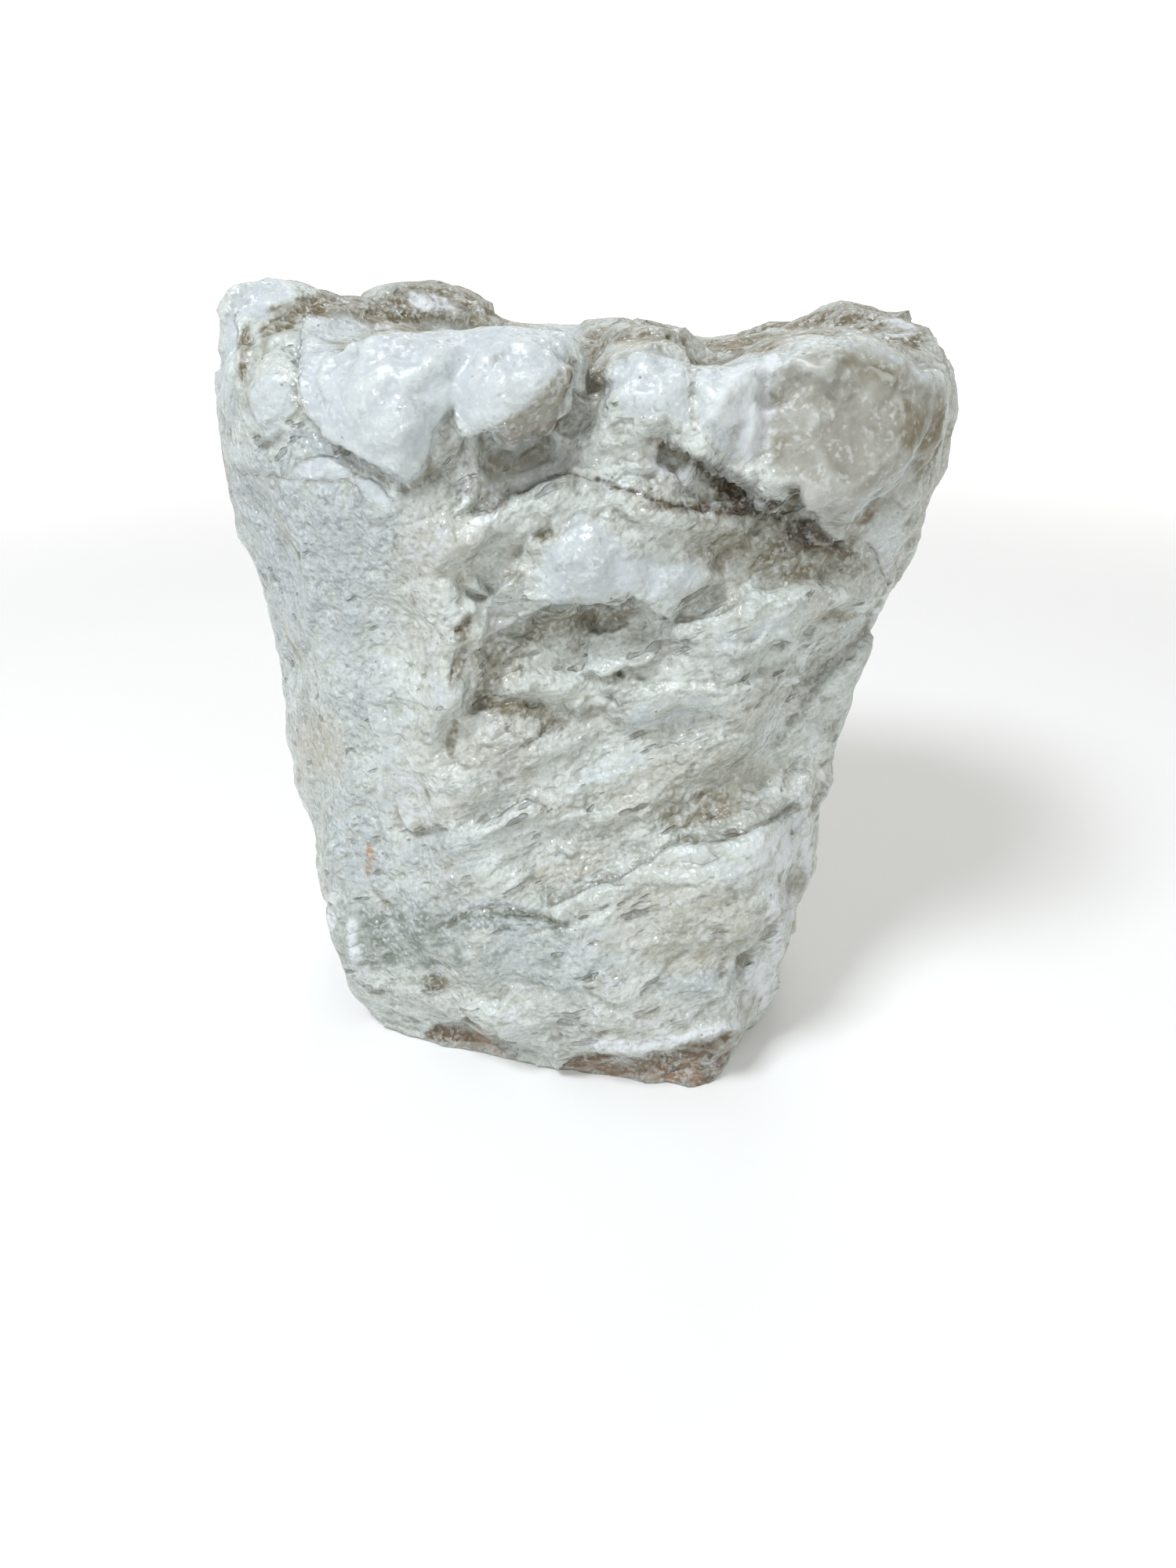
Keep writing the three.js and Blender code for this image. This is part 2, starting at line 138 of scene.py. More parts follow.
class StoneNoise:
    """Smooth seeded noise in space, for the lumps and stains that follow no line."""

    TABLE = 256
    GAIN = 1.6  # brings the lumps to about -1 to 1
    OCTAVE_SHIFT = 37.0  # keeps one size of lumps clear of the next
    SET_BACK = 0.5  # as many faces lie under their mean height as over it

    def __init__(self, seed: int) -> None:
        """Draws the slopes that the noise is made of.

        Args:
            seed: The start of the draw.
        """
        draw = np.random.default_rng(seed)
        slopes = draw.normal(size=(self.TABLE, 3))
        self.slopes = slopes / np.linalg.norm(slopes, axis=1)[:, None]
        self.order = draw.permutation(self.TABLE)
        self.jitter = draw.random((self.TABLE, 3))

    def pick(self, cell: np.ndarray) -> np.ndarray:
        """Numbers the whole cells of space.

        Args:
            cell: Their places, in cells.

        Returns:
            Each cell's number in the tables.
        """
        last = self.TABLE - 1
        across = self.order[cell[:, 0] & last]
        along = self.order[(across + cell[:, 1]) & last]
        return self.order[(along + cell[:, 2]) & last]

    def lumps(self, points: np.ndarray, size: float) -> np.ndarray:
        """Gives rolling noise, about -1 to 1.

        Args:
            points: Places in millimetres.
            size: How far apart the lumps are, in millimetres.

        Returns:
            The noise at each place.
        """
        place = points / size
        cell = np.floor(place).astype(int)
        inside = place - cell
        ease = inside**3 * (inside * (inside * 6 - 15) + 10)
        total = np.zeros(len(points))
        for corner in product((0, 1), repeat=3):
            step = np.array(corner)
            slope = self.slopes[self.pick(cell + step)]
            share = np.where(step == 1, ease, 1 - ease).prod(axis=1)
            total += share * ((inside - step) * slope).sum(axis=1)
        return total * self.GAIN

    def cloud(self, points: np.ndarray, cloud: Cloud) -> np.ndarray:
        """Adds finer and finer lumps together.

        Args:
            points: Places in millimetres.
            cloud: Their sizes.

        Returns:
            The noise at each place.
        """
        total = np.zeros(len(points))
        for octave in range(cloud.octaves):
            finer = 2.0**octave
            shift = cloud.shift + self.OCTAVE_SHIFT * octave
            total += self.lumps(points + shift, cloud.size / finer) / finer
        return total

    def sway(self, points: np.ndarray, cloud: Cloud, shifts: tuple[float, ...]) -> np.ndarray:
        """Gives a noise of its own for each direction."""
        return np.stack([self.cloud(points + shift, cloud) for shift in shifts], axis=1)

    def pebbles(self, points: np.ndarray, size: float) -> np.ndarray:
        """Gives rounded grains packed together: 0 in the joints between them, rising to their middles.

        Args:
            points: Places in millimetres.
            size: How wide a grain is, in millimetres.

        Returns:
            How far each place is from a joint, in grain widths.
        """
        place = points / size
        cell = np.floor(place).astype(int)
        nearest = np.full(len(points), FAR)
        second = np.full(len(points), FAR)
        for corner in product((-1, 0, 1), repeat=3):
            other = cell + np.array(corner)
            gap = np.linalg.norm(place - other - self.jitter[self.pick(other)], axis=1)
            second = np.minimum(second, np.maximum(nearest, gap))
            nearest = np.minimum(nearest, gap)
        return second - nearest

    def facets(self, points: np.ndarray, size: float, crisp: float) -> np.ndarray:
        """Gives chipped faces packed together, each tilted and set back its own way.

        Args:
            points: Places in millimetres.
            size: How wide a face is, in millimetres.
            crisp: How sharply one face meets the next.

        Returns:
            The height of each place, in millimetres, for faces that slope one in one.
        """
        place = points / size
        cell = np.floor(place).astype(int)
        total = np.zeros(len(points))
        weight = np.full(len(points), TINY)
        for corner in product((-1, 0, 1), repeat=3):
            other = cell + np.array(corner)
            number = self.pick(other)
            away = place - other - self.jitter[number]
            share = np.exp(-crisp * (away**2).sum(axis=1))
            height = (self.slopes[number] * away).sum(axis=1) + self.jitter[number, 0] - self.SET_BACK
            total += share * height
            weight += share
        return size * total / weight


@dataclass(frozen=True)
class FrontView:
    """The place that the block is seen from, from which the marks on its front are laid out.

    Its place is in metres, its tilt in degrees, its focal length and middle in view units, and its
    film in millimetres and in view units.
    """

    across: float = 0.000456
    near: float = -0.464876
    height: float = 0.34
    down: float = 28.0
    focal: float = 1502.0
    middle: Point = (750.0, 1000.0)
    film: float = 36.0
    film_rows: float = 2000.0
    clip: float = 0.01

    def project(self, points: np.ndarray) -> tuple[np.ndarray, np.ndarray]:
        """Lays points of the block on the view.

        Args:
            points: Places in metres.

        Returns:
            Each point's column and row, and how far it lies along the view, in metres.
        """
        slope = math.radians(self.down)
        away = points - np.array([self.across, self.near, self.height])
        depth = away @ np.array([0.0, math.cos(slope), -math.sin(slope)])
        rise = away @ np.array([0.0, math.sin(slope), math.cos(slope)])
        column = self.middle[0] + self.focal * away[:, 0] / depth
        row = self.middle[1] - self.focal * rise / depth
        return np.stack([column, row], axis=1), depth

    def towards(self, points: np.ndarray) -> np.ndarray:
        """Gives the direction from each point, in metres, to the place it is seen from."""
        away = np.array([self.across, self.near, self.height]) - points
        return away / np.linalg.norm(away, axis=1)[:, None]

    def make_camera(self) -> None:
        """Stands the camera in its place."""
        bpy.ops.object.camera_add(
            location=(self.across, self.near, self.height),
            rotation=(math.radians(90 - self.down), 0, 0),
        )
        camera = bpy.context.object
        camera.name = "front_camera"
        camera.data.sensor_width = self.film
        camera.data.lens = self.film * self.focal / self.film_rows
        camera.data.clip_start = self.clip
        camera.data.dof.use_dof = False
        bpy.context.scene.camera = camera


class Surface:
    """The block's skin as arrays in millimetres, while it is being shaped."""

    def __init__(self, mesh: bpy.types.Mesh) -> None:
        """Reads the points, edges and triangles of a mesh.

        Args:
            mesh: The mesh, in metres.
        """
        mesh.calc_loop_triangles()
        points = np.zeros(len(mesh.vertices) * 3)
        mesh.vertices.foreach_get("co", points)
        edges = np.zeros(len(mesh.edges) * 2, dtype=np.int32)
        mesh.edges.foreach_get("vertices", edges)
        corners = np.zeros(len(mesh.loop_triangles) * 3, dtype=np.int32)
        mesh.loop_triangles.foreach_get("vertices", corners)
        self.points = points.reshape(-1, 3) * MM
        self.edges = edges.reshape(-1, 2)
        self.corners = corners.reshape(-1, 3)
        self.joined = np.bincount(self.edges.ravel(), minlength=len(self.points))

    def around(self, values: np.ndarray) -> np.ndarray:
        """Averages a value, or a place, over each point's neighbours.

        Args:
            values: One number or one place for each point.

        Returns:
            The averages, in the same form.
        """
        if values.ndim == 2:
            return np.stack([self.around(column) for column in values.T], axis=1)
        count = len(self.points)
        first, second = self.edges.T
        total = np.bincount(first, values[second], count)
        total += np.bincount(second, values[first], count)
        return total / self.joined

    def softened(self, values: np.ndarray, rounds: int) -> np.ndarray:
        """Spreads values out over their neighbours.

        Args:
            values: One number or one place for each point.
            rounds: How many times they are averaged.

        Returns:
            The softened values.
        """
        for _ in range(rounds):
            values = (values + self.around(values)) / 2
        return values

    def relax(self, rounds: int, pull: float = 0.55, push: float = 0.57) -> None:
        """Smooths the skin and keeps its size: each pull inwards is followed by a push out.

        Args:
            rounds: How many pairs of pull and push there are.
            pull: How far a point goes to its neighbours' middle.
            push: How far it then goes back from it.
        """
        for _ in range(rounds):
            for share in (pull, -push):
                self.points += share * (self.around(self.points) - self.points)

    def normals(self) -> np.ndarray:
        """Works out which way the skin faces.

        Returns:
            Each point's outward direction.
        """
        first, second, third = (self.points[self.corners[:, n]] for n in range(3))
        faces = np.cross(second - first, third - first)
        total = np.zeros_like(self.points)
        for corner, axis in product(range(3), range(3)):
            total[:, axis] += np.bincount(self.corners[:, corner], faces[:, axis], len(self.points))
        return total / np.maximum(np.linalg.norm(total, axis=1), TINY)[:, None]

    def hollow(self, rounds: int) -> np.ndarray:
        """Says how far each point lies below the stone round it.

        Args:
            rounds: How wide the stone round it is taken, in steps from point to point.

        Returns:
            Millimetres, more in a hollow and negative on a crest.
        """
        return ((self.softened(self.points, rounds) - self.points) * self.normals()).sum(axis=1)

    def write(self, mesh: bpy.types.Mesh) -> None:
        """Puts the shaped points back in a mesh."""
        mesh.vertices.foreach_set("co", (self.points / MM).astype(np.float32).ravel())
        mesh.update()


def beside(places: np.ndarray, line: Line) -> tuple[np.ndarray, np.ndarray]:
    """Measures points against a line of straight runs.

    Args:
        places: Columns and rows on the view.
        line: The line's points.

    Returns:
        The distance from the line, positive on the left of the way it runs (above a line that
        runs to the right), and how far along it the nearest place is from the closer end.
    """
    best = np.full(len(places), np.inf)
    side = np.zeros(len(places))
    along = np.zeros(len(places))
    ends = np.array(line, dtype=float)
    lengths = np.linalg.norm(np.diff(ends, axis=0), axis=1)
    whole, passed = lengths.sum(), 0.0
    for start, end, length in zip(ends[:-1], ends[1:], lengths):
        way = (end - start) / length
        away = places - start
        run = np.clip(away @ way, 0, length)
        gap = np.linalg.norm(away - run[:, None] * way, axis=1)
        closer = gap < best - TIE
        best = np.where(closer, gap, best)
        side = np.where(closer, away[:, 0] * way[1] - away[:, 1] * way[0], side)
        along = np.where(closer, passed + run, along)
        passed += length
    return best * np.where(side < 0, -1.0, 1.0), np.minimum(along, whole - along)


def inside_outline(places: np.ndarray, outline: Line) -> np.ndarray:
    """Measures points against a closed outline.

    Args:
        places: Columns and rows on the view.
        outline: The outline's points.

    Returns:
        The distance from the outline, positive inside it.
    """
    gap, _ = beside(places, outline + outline[:1])
    inside = np.zeros(len(places), dtype=bool)
    for (left, top), (right, bottom) in zip(outline, outline[1:] + outline[:1]):
        crossed = (top > places[:, 1]) != (bottom > places[:, 1])
        rise = bottom - top if bottom != top else TINY
        reach = left + (places[:, 1] - top) * (right - left) / rise
        inside ^= crossed & (places[:, 0] < reach)
    return np.abs(gap) * np.where(inside, 1.0, -1.0)


def oval_share(places: np.ndarray, centre: Point, radii: Point, turn: float) -> np.ndarray:
    """Measures points against a turned oval.

    Args:
        places: Columns and rows on the view.
        centre: The oval's middle.
        radii: Its half width and half height before it is turned.
        turn: Degrees, clockwise on the view.

    Returns:
        0 in its middle and 1 on its rim.
    """
    angle = math.radians(turn)
    away = places - np.array(centre)
    along = away @ np.array([math.cos(angle), math.sin(angle)])
    across = away @ np.array([-math.sin(angle), math.cos(angle)])
    return np.hypot(along / radii[0], across / radii[1])


@dataclass(frozen=True)
class Spots:
    """Where the points of the skin lie on the front view, and how squarely they face it."""

    places: np.ndarray
    reach: np.ndarray
    facing: np.ndarray

    def near(self, line: Line, margin: float) -> np.ndarray:
        """Picks the points round a line.

        Args:
            line: Its points on the view.
            margin: How far round it points are taken, in view units.

        Returns:
            The numbers of the points.
        """
        ends = np.array(line)
        low, high = ends.min(axis=0) - margin, ends.max(axis=0) + margin
        inside = ((self.places > low) & (self.places < high)).all(axis=1)
        return np.flatnonzero(inside & (self.facing > 0))

    def measured(self, line: Line, margin: float) -> tuple[np.ndarray, np.ndarray, np.ndarray]:
        """Measures the points round a line, on the stone itself.

        Args:
            line: Its points on the view.
            margin: How far round it points are taken, in view units.

        Returns:
            The numbers of the points, and in millimetres how far each lies from the line, as in
            beside, and from the line's closer end.
        """
        chosen = self.near(line, margin)
        gap, end = beside(self.places[chosen], line)
        return chosen, gap * self.reach[chosen], end * self.reach[chosen]

    def covered(self, stains: tuple[Any, ...]) -> np.ndarray:
        """Lays the marks of one tone over one another, stains and painted shade and light alike, so that
        the strongest shows.

        Args:
            stains: The marks of one tone.

        Returns:
            0 to 1 for each point that the front view sees, and 0 for the others.
        """
        total = np.zeros(len(self.places))
        for stain in stains:
            chosen, share = stain.cover(self)
            total[chosen] = np.maximum(total[chosen], share)
        return total * self.facing


@dataclass(frozen=True)
class Ledge:
    """A step in the stone: it stands out on the left of its line and is drawn back on the right."""

    line: Line
    out: float
    under: float
    over_reach: float = 7.0
    under_reach: float = 5.0
    taper: float = 5.0
    over_power: float = 1.5
    under_power: float = 1.3
    half_edge: float = 0.7
    margin: float = 120.0

    def height(self, spots: Spots) -> tuple[np.ndarray, np.ndarray]:
        """Gives how far the step moves the stone.

        Args:
            spots: The skin on the front view.

        Returns:
            The numbers of the points it moves, and how far out each goes, in millimetres.
        """
        chosen, gap, end = spots.measured(self.line, self.margin)
        raised = soft_step(-self.half_edge, self.half_edge, gap)
        above = self.out * np.exp(-((np.maximum(gap, 0) / self.over_reach) ** self.over_power))
        below = self.under * np.exp(-((np.maximum(-gap, 0) / self.under_reach) ** self.under_power))
        return chosen, (raised * above - (1 - raised) * below) * soft_step(0, self.taper, end)


@dataclass(frozen=True)
class Groove:
    """A narrow cut along a line, or a ridge where its depth is negative."""

    line: Line
    width: float
    depth: float
    taper: float = 3.0
    margin: float = 60.0

    def height(self, spots: Spots) -> tuple[np.ndarray, np.ndarray]:
        """Gives the numbers of the points it moves, and how far out each goes, in millimetres."""
        chosen, gap, end = spots.measured(self.line, self.margin)
        return chosen, -self.depth * np.exp(-((gap / self.width) ** 2)) * soft_step(0, self.taper, end)


@dataclass(frozen=True)
class Lump:
    """A rounded swelling, or a hollow where its rise is negative."""

    centre: Point
    radii: Point
    rise: float
    turn: float = 0.0

    def height(self, spots: Spots) -> tuple[np.ndarray, np.ndarray]:
        """Gives how far the swelling moves the stone.

        Args:
            spots: The skin on the front view.

        Returns:
            The numbers of the points it moves, and how far out each goes, in millimetres.
        """
        chosen = spots.near((self.centre,), max(self.radii))
        share = oval_share(spots.places[chosen], self.centre, self.radii, self.turn)
        return chosen, self.rise * np.clip(1 - share**2, 0, 1) ** 2


@dataclass(frozen=True)
class Seam:
    """A thin dark crack: a fine line of dirt in a shallow cut."""

    line: Line
    depth: float = 0.5
    dark: float = 0.8
    width: float = 1.1

    def groove(self) -> Groove:
        """Gives the cut that the dirt lies in."""
        return Groove(self.line, self.width, self.depth)

    def room(self, others: list["Seam"]) -> float:
        """Gives how far the crack lies from the nearest of some others."""
        gaps = [np.abs(beside(np.array(self.line), other.line)[0]).min() for other in others]
        return min(gaps, default=math.inf)


@dataclass(frozen=True)
class Chop:
    """A flat broken face: stone that stands out past its plane is struck off."""

    place: Triple
    facing: Triple
    reach: float
    core: float = 0.75

    def strike(self, points: np.ndarray) -> np.ndarray:
        """Strikes off the stone past the plane.

        Args:
            points: Places in millimetres.

        Returns:
            The new places.
        """
        away = points - np.array(self.place)
        facing = np.array(self.facing) / np.linalg.norm(self.facing)
        past = np.maximum(away @ facing, 0)
        share = soft_step(self.reach, self.core * self.reach, np.linalg.norm(away, axis=1))
        return points - (past * share)[:, None] * facing


@dataclass(frozen=True)
class Oval:
    """A mark in the shape of a turned oval, for stains and for painted shade and light alike."""

    centre: Point
    radii: Point
    turn: float = 0.0
    strength: float = 1.0
    edge: float = 0.35

    def cover(self, spots: Spots) -> tuple[np.ndarray, np.ndarray]:
        """Gives where the mark lies.

        Args:
            spots: The skin on the front view.

        Returns:
            The numbers of the points under it, and how strong it is on each.
        """
        chosen = spots.near((self.centre,), max(self.radii) * OVAL_MARGIN)
        share = oval_share(spots.places[chosen], self.centre, self.radii, self.turn)
        return chosen, self.strength * soft_step(1 + self.edge, 1 - self.edge, share)


@dataclass(frozen=True)
class Field:
    """A mark with a drawn outline, for stains and for painted shade and light alike."""

    outline: Line
    edge: float = 8.0
    strength: float = 1.0

    def cover(self, spots: Spots) -> tuple[np.ndarray, np.ndarray]:
        """Gives where the mark lies.

        Args:
            spots: The skin on the front view.

        Returns:
            The numbers of the points under it, and how strong it is on each.
        """
        chosen = spots.near(self.outline, self.edge * EDGE_MARGIN)
        gap = inside_outline(spots.places[chosen], self.outline)
        return chosen, self.strength * soft_step(-self.edge, self.edge, gap)


@dataclass(frozen=True)
class Streak:
    """A mark along a line, for stains and for painted shade and light alike."""

    line: Line
    width: float
    strength: float = 1.0

    def cover(self, spots: Spots) -> tuple[np.ndarray, np.ndarray]:
        """Gives where the mark lies.

        Args:
            spots: The skin on the front view.

        Returns:
            The numbers of the points under it, and how strong it is on each.
        """
        chosen = spots.near(self.line, self.width * EDGE_MARGIN)
        gap, _ = beside(spots.places[chosen], self.line)
        return chosen, self.strength * np.exp(-((gap / self.width) ** 2))


CHOPS = (
    # The squared block at the back of the top, on the right, and the stone beside it.
    Chop((108.0, 18.0, 289.5), (0.14, -0.1, 1.0), 30.0),
    Chop((126.0, 16.0, 285.0), (1.0, 0.1, 0.1), 11.0),
    Chop((137.0, -2.0, 271.0), (0.75, 0.0, 0.66), 20.0),
    # Broken faces of the boss.
    Chop((62.0, -92.0, 262.0), (-0.25, -1.0, 0.25), 26.0),
    Chop((96.0, -86.0, 268.0), (0.2, -1.0, 0.35), 30.0),
)

LEDGES = (
    # The white crest at the top left, over its own shaded foot.
    Ledge(((380, 413), (384, 441), (379, 486), (382, 511), (390, 527), (407, 549), (432, 566), (457, 577),
        (484, 597), (507, 610), (515, 624)), 2.4, 2.4),
    Ledge(((515, 624), (532, 608), (551, 588), (555, 552), (568, 524), (579, 508)), 1.4, 1.2),
    Ledge(((579, 563), (600, 558), (623, 549), (634, 560), (662, 563), (682, 558), (704, 535), (720, 519),
        (727, 497), (737, 460)), 3.8, 6.0, under_reach=7.0),
    # The oval nodule at the far left, and the rim inside it.
    Ledge(((301, 486), (300, 510), (307, 533), (320, 555), (326, 569), (357, 552), (368, 544)), 1.4, 1.4),
    Ledge(((320, 477), (315, 491), (314, 508), (318, 524), (332, 538), (357, 549)), 0.8, 0.4),
    # The boss at the top right, over the deep crevice with its dirt and painted shade.
    Ledge(((838, 556), (860, 566), (885, 578), (905, 598), (930, 612), (955, 632), (975, 648), (1000, 645),
        (1012, 628)), 2.6, 5.4, under_reach=7.0),
    Ledge(((1015, 622), (1034, 653), (1045, 673), (1070, 684), (1087, 659), (1098, 639), (1129, 612),
        (1151, 592), (1173, 573)), 2.2, 2.2),
    Ledge(((1003, 660), (1017, 677), (1027, 690), (1040, 698), (1060, 698), (1077, 695), (1100, 683),
        (1110, 670)), 1.1, 1.8),
    # The shoulder under the three-cornered recess.
    Ledge(((737, 608), (709, 608), (687, 616), (665, 630), (629, 647), (593, 655)), 1.4, 2.7),
    Ledge(((612, 563), (609, 580), (598, 619), (590, 655)), 1.3, 2.4),
    # The roof of the cave in the middle.
    Ledge(((600, 835), (620, 812), (640, 800), (690, 778), (707, 770), (727, 767), (747, 772), (773, 768),
        (793, 763), (806, 752), (820, 763), (827, 773), (847, 780), (862, 790)), 2.1, 3.9, under_reach=8.0),
    # The slabs on the right face, each standing out below its line.
    Ledge(((970, 752), (960, 755), (947, 767), (927, 780), (900, 788), (873, 795), (850, 797)), 1.3, 1.2),
    Ledge(((1093, 797), (1080, 792), (1053, 792), (1037, 798), (1027, 810), (1010, 820)), 1.4, 1.4),
    Ledge(((1028, 1029), (1011, 1038), (976, 1051), (940, 1067), (915, 1076), (890, 1074), (879, 1069),
        (854, 1078), (836, 1094), (829, 1103), (819, 1104), (804, 1110), (783, 1119), (761, 1128),
        (736, 1140), (711, 1151), (690, 1161)), 2.1, 2.5),
    Ledge(((704, 1033), (690, 1024), (669, 1019), (654, 1026), (640, 1036), (626, 1047), (604, 1054)), 1.1,
        1.2),
    # The soft arris of the left face, down to its hooked crevice.
    Ledge(((453, 864), (466, 893), (474, 935), (487, 977), (499, 1010), (516, 1052), (528, 1060),
        (574, 1056)), 1.9, 0.8, over_reach=10.0),
    # The chalky lip over the brown foot.
    Ledge(((704, 1365), (726, 1347), (754, 1340), (811, 1344), (851, 1340), (883, 1326), (940, 1313)), 2.2,
        3.0),
    Ledge(((544, 1319), (558, 1304), (583, 1304), (597, 1294), (619, 1308), (635, 1311), (640, 1329),
        (669, 1347)), 1.4, 2.7),
    # Short steps across the slanting bands of the right face.
    Ledge(((699, 906), (666, 902), (624, 902), (591, 918)), 1.3, 1.5),
    Ledge(((632, 852), (645, 839), (666, 831), (699, 831)), 1.1, 1.4),
    Ledge(((993, 853), (960, 866), (927, 877), (860, 873), (800, 867)), 1.1, 1.2, over_reach=9.0),
    Ledge(((1100, 760), (1050, 745), (1003, 752), (970, 752)), 0.8, 0.9),
    Ledge(((980, 930), (930, 935), (880, 950), (830, 948)), 0.8, 0.9, over_reach=9.0),
    Ledge(((860, 985), (800, 980), (750, 995), (716, 1010)), 0.6, 0.8, over_reach=9.0),
)

GROOVES = (
    # Folds between the white nodules.
    Groove(((437, 420), (447, 470), (440, 520)), 4.0, 1.1, 9.0),
    Groove(((520, 425), (500, 480), (490, 550)), 4.0, 1.1, 9.0),
    Groove(((600, 425), (588, 470), (579, 508)), 3.0, 1.1, 6.0),
    Groove(((660, 430), (655, 470), (640, 510)), 5.0, 0.8, 9.0),
    Groove(((884, 455), (884, 500), (878, 560)), 2.6, 2.2, 6.0),
    Groove(((976, 470), (974, 520), (966, 575)), 2.0, 1.3, 5.0),
    Groove(((742, 440), (748, 480), (752, 520)), 5.0, 1.7, 9.0),
    # Slots in the broken stone of the arris.
    Groove(((677, 693), (693, 683), (707, 670)), 1.4, 1.8),
    Groove(((640, 753), (650, 733), (663, 723)), 1.3, 1.2),
    Groove(((580, 810), (591, 793), (603, 785)), 1.5, 2.2),
    Groove(((573, 877), (582, 847), (599, 827)), 1.6, 2.2),
    Groove(((578, 960), (572, 940), (583, 918)), 1.6, 1.3),
    Groove(((603, 889), (620, 881), (632, 852)), 1.4, 1.5),
    Groove(((666, 806), (687, 789), (699, 785)), 1.5, 1.5),
    Groove(((787, 867), (800, 853), (807, 842)), 1.4, 1.4),
    Groove(((894, 915), (908, 920), (922, 911)), 1.2, 1.4),
    Groove(((720, 913), (704, 926), (690, 940)), 1.6, 1.4),
    Groove(((640, 700), (655, 675), (676, 655)), 1.8, 1.1),
    Groove(((615, 720), (632, 700), (640, 672)), 2.0, 1.4),
    # Ridges: chalky, pale or broken.
    Groove(((608, 1065), (640, 1051), (669, 1036)), 1.4, -1.3),
    Groove(((986, 1144), (992, 1197), (990, 1233)), 1.6, -1.3),
    Groove(((449, 1177), (449, 1210), (470, 1243)), 1.8, -1.1),
    Groove(((440, 1143), (449, 1177), (449, 1210), (458, 1238)), 2.4, -0.8),
    Groove(((600, 760), (590, 790), (575, 830)), 2.2, -1.4),
    Groove(((620, 745), (612, 790), (598, 850)), 1.8, -1.1),
    Groove(((652, 700), (668, 680), (690, 664)), 1.8, -1.3),
    Groove(((1120, 537), (1118, 560), (1106, 600)), 1.5, -1.0),
    Groove(((751, 1329), (779, 1336), (815, 1336), (851, 1331), (886, 1320), (940, 1308)), 1.6, -1.0),
)

LUMPS = (
    # The nodules and the boss along the top.
    Lump((470, 500), (70, 100), 1.8),
    Lump((1075, 560), (110, 120), 0.8),
    Lump((562, 478), (48, 50), 5.2, 30),
    Lump((655, 480), (90, 92), 3.0),
    Lump((820, 498), (54, 58), 3.0),
    Lump((928, 520), (44, 80), 2.2),
    Lump((950, 525), (42, 70), 5.5, 12),
    Lump((345, 510), (34, 46), 1.5),
    Lump((505, 385), (28, 16), 0.8),
    # The glassy lump, and the roof and floor of the cave under it.
    Lump((745, 700), (62, 52), 3.0),
    Lump((832, 738), (48, 34), 1.8),
    Lump((715, 812), (24, 17), 1.0),
    Lump((752, 808), (20, 14), 0.8),
    Lump((690, 760), (26, 18), 0.7),
    Lump((800, 768), (14, 10), -1.6),
    Lump((760, 801), (22, 9), -1.2),
    Lump((636, 746), (54, 36), 7.0, -30),
    # Pits, blisters and scoops elsewhere.
    Lump((530, 1008), (26, 14), -0.9),
    Lump((556, 1252), (16, 12), -1.3),
    Lump((948, 1228), (12, 17), -1.6),
    Lump((972, 1250), (22, 30), 0.5),
    Lump((833, 1090), (18, 10), 0.7, -30),
    Lump((880, 1088), (36, 12), 0.6, -8),
    Lump((910, 1035), (44, 26), -1.0),
    Lump((1040, 1072), (26, 30), 1.0),
    Lump((582, 802), (7, 8), -1.0),
    Lump((690, 565), (34, 16), -1.4),
    Lump((938, 622), (34, 20), -1.6, 25),
    Lump((1020, 672), (16, 14), -1.3),
    Lump((660, 870), (30, 22), 0.8),
    Lump((720, 870), (34, 20), 0.7),
    Lump((640, 980), (34, 24), 0.5),
    Lump((870, 720), (46, 18), -0.7),
    Lump((1000, 700), (40, 22), -0.6),
    # Stone that fills the crevice, the rear knob and the slots of the arris.
    Lump((864, 604), (34, 22), 5.4, 20),
    Lump((815, 590), (30, 22), 3.0),
    Lump((906, 622), (26, 15), 3.8, 20),
    Lump((1125, 398), (56, 15), 3.0, 6),
    Lump((609, 752), (15, 12), 3.5),
    Lump((577, 937), (6, 16), 1.4, 6),
)

